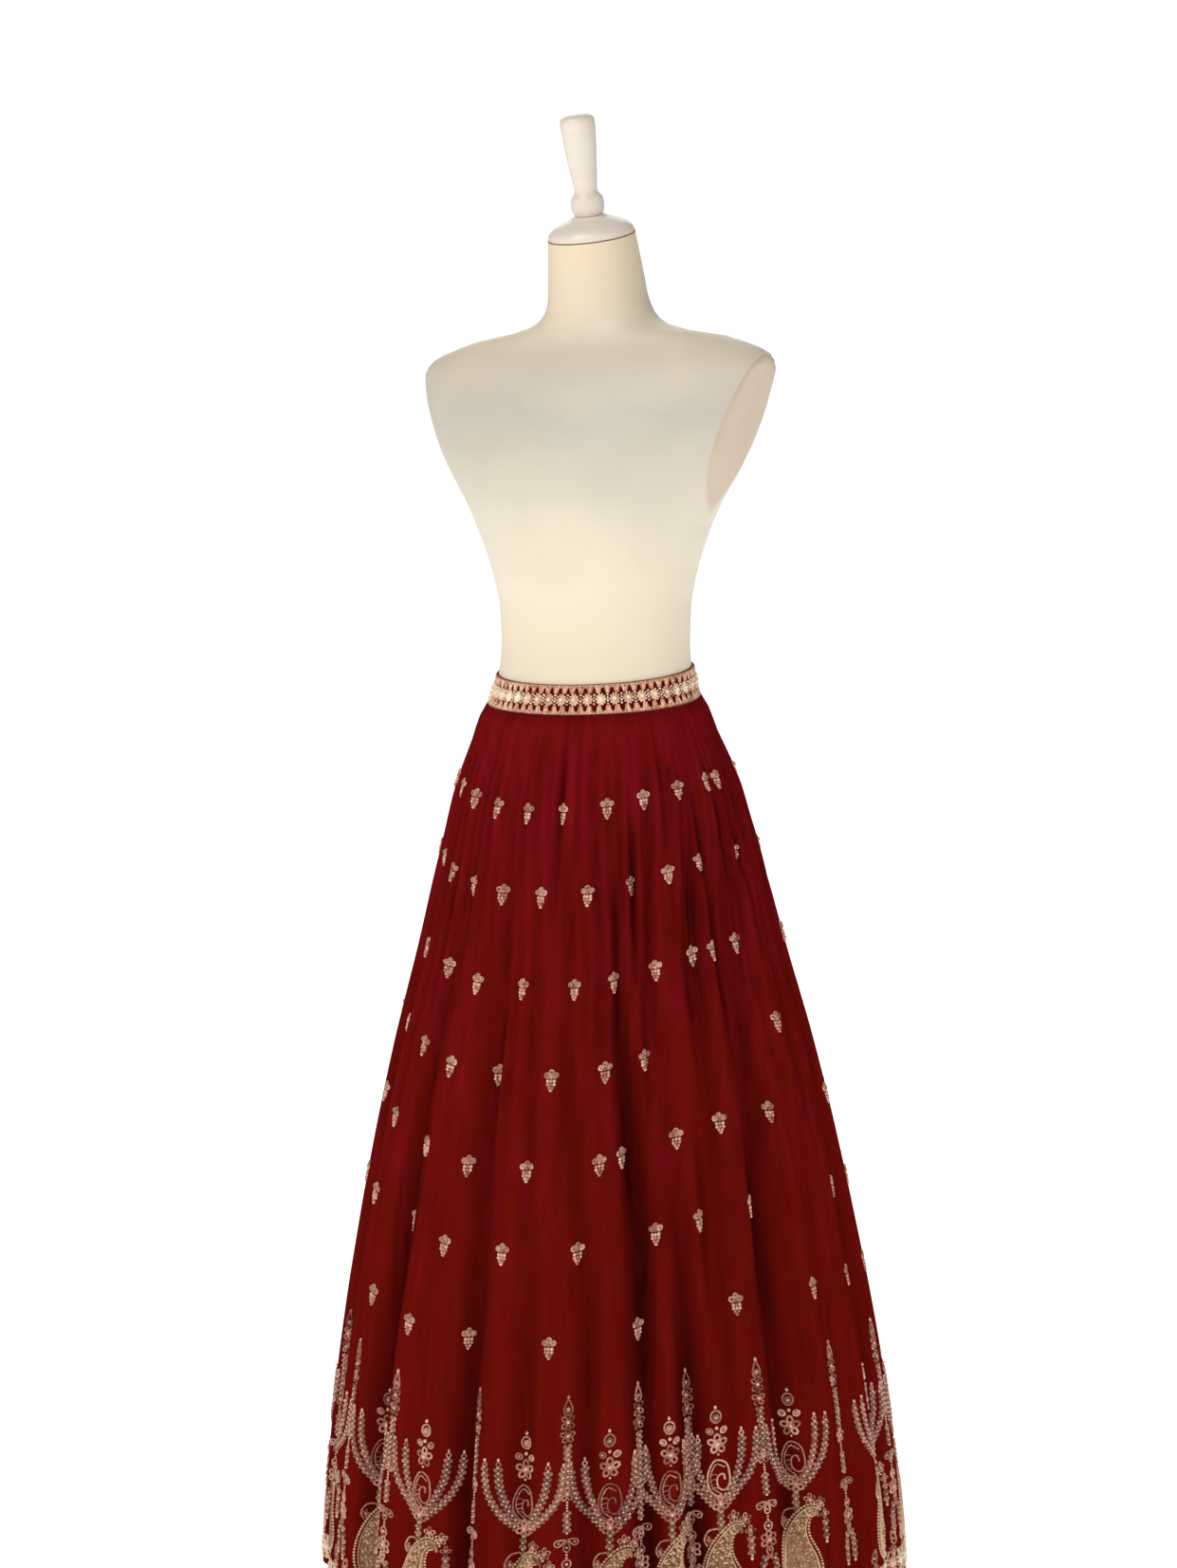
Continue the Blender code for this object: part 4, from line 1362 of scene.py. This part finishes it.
def make_stand(materials):
    """A round base with a socket, a pole, and a collar under the form."""
    socket_top = BASE_THICKNESS + SOCKET_HEIGHT
    base = (
        (0.0, socket_top), (SOCKET_RADIUS * 0.8, socket_top), (SOCKET_RADIUS, socket_top - 0.01),
        (SOCKET_RADIUS * 1.25, BASE_THICKNESS + 0.004), (SOCKET_RADIUS * 1.6, BASE_THICKNESS),
        (BASE_RADIUS - 0.006, BASE_THICKNESS), (BASE_RADIUS - 0.0017, BASE_THICKNESS - 0.0017),
        (BASE_RADIUS, BASE_THICKNESS - 0.006), (BASE_RADIUS, 0.0), (0.0, 0.0),
    )
    collar_bottom = FORM_BOTTOM - GAP - COLLAR_HEIGHT
    pole_bottom = socket_top + GAP
    pole_length = collar_bottom - GAP - pole_bottom
    for name, node, outline, bottom in (
        ("stand_disc", "stand_base", base, 0.0),
        ("stand_tube", "stand_pole", barrel(POLE_RADIUS, pole_length), pole_bottom),
        ("stand_ring", "stand_collar", barrel(COLLAR_RADIUS, COLLAR_HEIGHT), collar_bottom),
    ):
        turned(name, node, "stand_metal", outline, materials["enamel"], (0, 0, bottom))


def barrel(radius, length, edge=0.0015):
    """The outline of a plain cylinder with a small edge."""
    return (
        (0.0, length), (radius - edge, length), (radius - edge * 0.3, length - edge * 0.3),
        (radius, length - edge), (radius, edge), (radius - edge * 0.3, edge * 0.3),
        (radius - edge, 0.0), (0.0, 0.0),
    )


# Light, floor and camera.

def make_floor():
    mesh = bpy.data.meshes.new("studio_floor")
    corners = [(x * FLOOR_REACH, y * FLOOR_REACH, 0) for x, y in ((-1, -1), (1, -1), (1, 1), (-1, 1))]
    mesh.from_pydata(corners, [], [(0, 1, 2, 3)])
    mesh.materials.append(floor_material())
    placed("studio_floor", mesh)


def add_area(name, azimuth, elevation, distance, size, power, colour):
    """A square soft light that looks at the middle of the form."""
    data = bpy.data.lights.new(name, "AREA")
    data.size = size
    data.energy = power
    data.color = colour
    lamp = placed(name, data)
    a, e = math.radians(azimuth), math.radians(elevation)
    level = distance * math.cos(e)
    lamp.location = (level * math.sin(a), -level * math.cos(a), LIGHTS_AIM + distance * math.sin(e))
    lamp.rotation_euler = (math.radians(90) - e, 0, a)


def make_light():
    world = bpy.data.worlds.new("studio")
    bpy.context.scene.world = world
    world.use_nodes = True
    nodes, links = world.node_tree.nodes, world.node_tree.links
    background = nodes["Background"]
    background.inputs["Color"].default_value = (1, 1, 1, 1)
    # The camera sees a white room, which lights the part less than it looks.
    strength = nodes.new("ShaderNodeMath")
    strength.operation = "MULTIPLY_ADD"
    strength.inputs[1].default_value = ROOM_SEEN - ROOM_LIGHT
    strength.inputs[2].default_value = ROOM_LIGHT
    links.new(nodes.new("ShaderNodeLightPath").outputs["Is Camera Ray"], strength.inputs[0])
    links.new(strength.outputs["Value"], background.inputs["Strength"])
    add_area("key", CAMERA_AZIMUTH - 38, 48, 2.7, 1.5, 31, (1.0, 0.985, 0.96))
    add_area("fill", CAMERA_AZIMUTH + 50, 12, 4.0, 2.2, 12, (0.97, 0.985, 1.0))
    add_area("back", CAMERA_AZIMUTH + 180, 35, 4.0, 2.2, 24, (1.0, 1.0, 1.0))


def make_camera():
    data = bpy.data.cameras.new("camera")
    data.lens = LENS
    data.sensor_width = SENSOR
    data.sensor_fit = "AUTO"
    data.shift_x = -AXIS_OFFSET / PICTURE_HEIGHT
    camera = placed("camera", data)
    a = math.radians(CAMERA_AZIMUTH)
    camera.location = (CAMERA_DISTANCE * math.sin(a), -CAMERA_DISTANCE * math.cos(a), CAMERA_HEIGHT)
    camera.rotation_euler = (math.radians(90 - CAMERA_DOWN), 0, a)
    bpy.context.scene.camera = camera


def main():
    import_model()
    make_camera()
    materials = make_materials()
    creases = make_creases()
    skirt = skirt_surface(creases)
    embroidery = [*make_butis(skirt, materials), *make_border(skirt, materials)]
    embroidery += make_hem_band(skirt, materials)
    for piece in embroidery:
        fit(piece, "waistband_beadwork")
    seams = make_seams(skirt, materials)
    make_skirt(creases, materials)
    make_band(materials)
    make_lap(materials)
    make_band_work(materials)
    make_form(materials)
    make_cap_and_finial(materials)
    neck_line(materials["joint"])
    make_stand(materials)
    make_floor()
    make_light()
    bpy.context.scene.view_settings.view_transform = "Standard"


main()
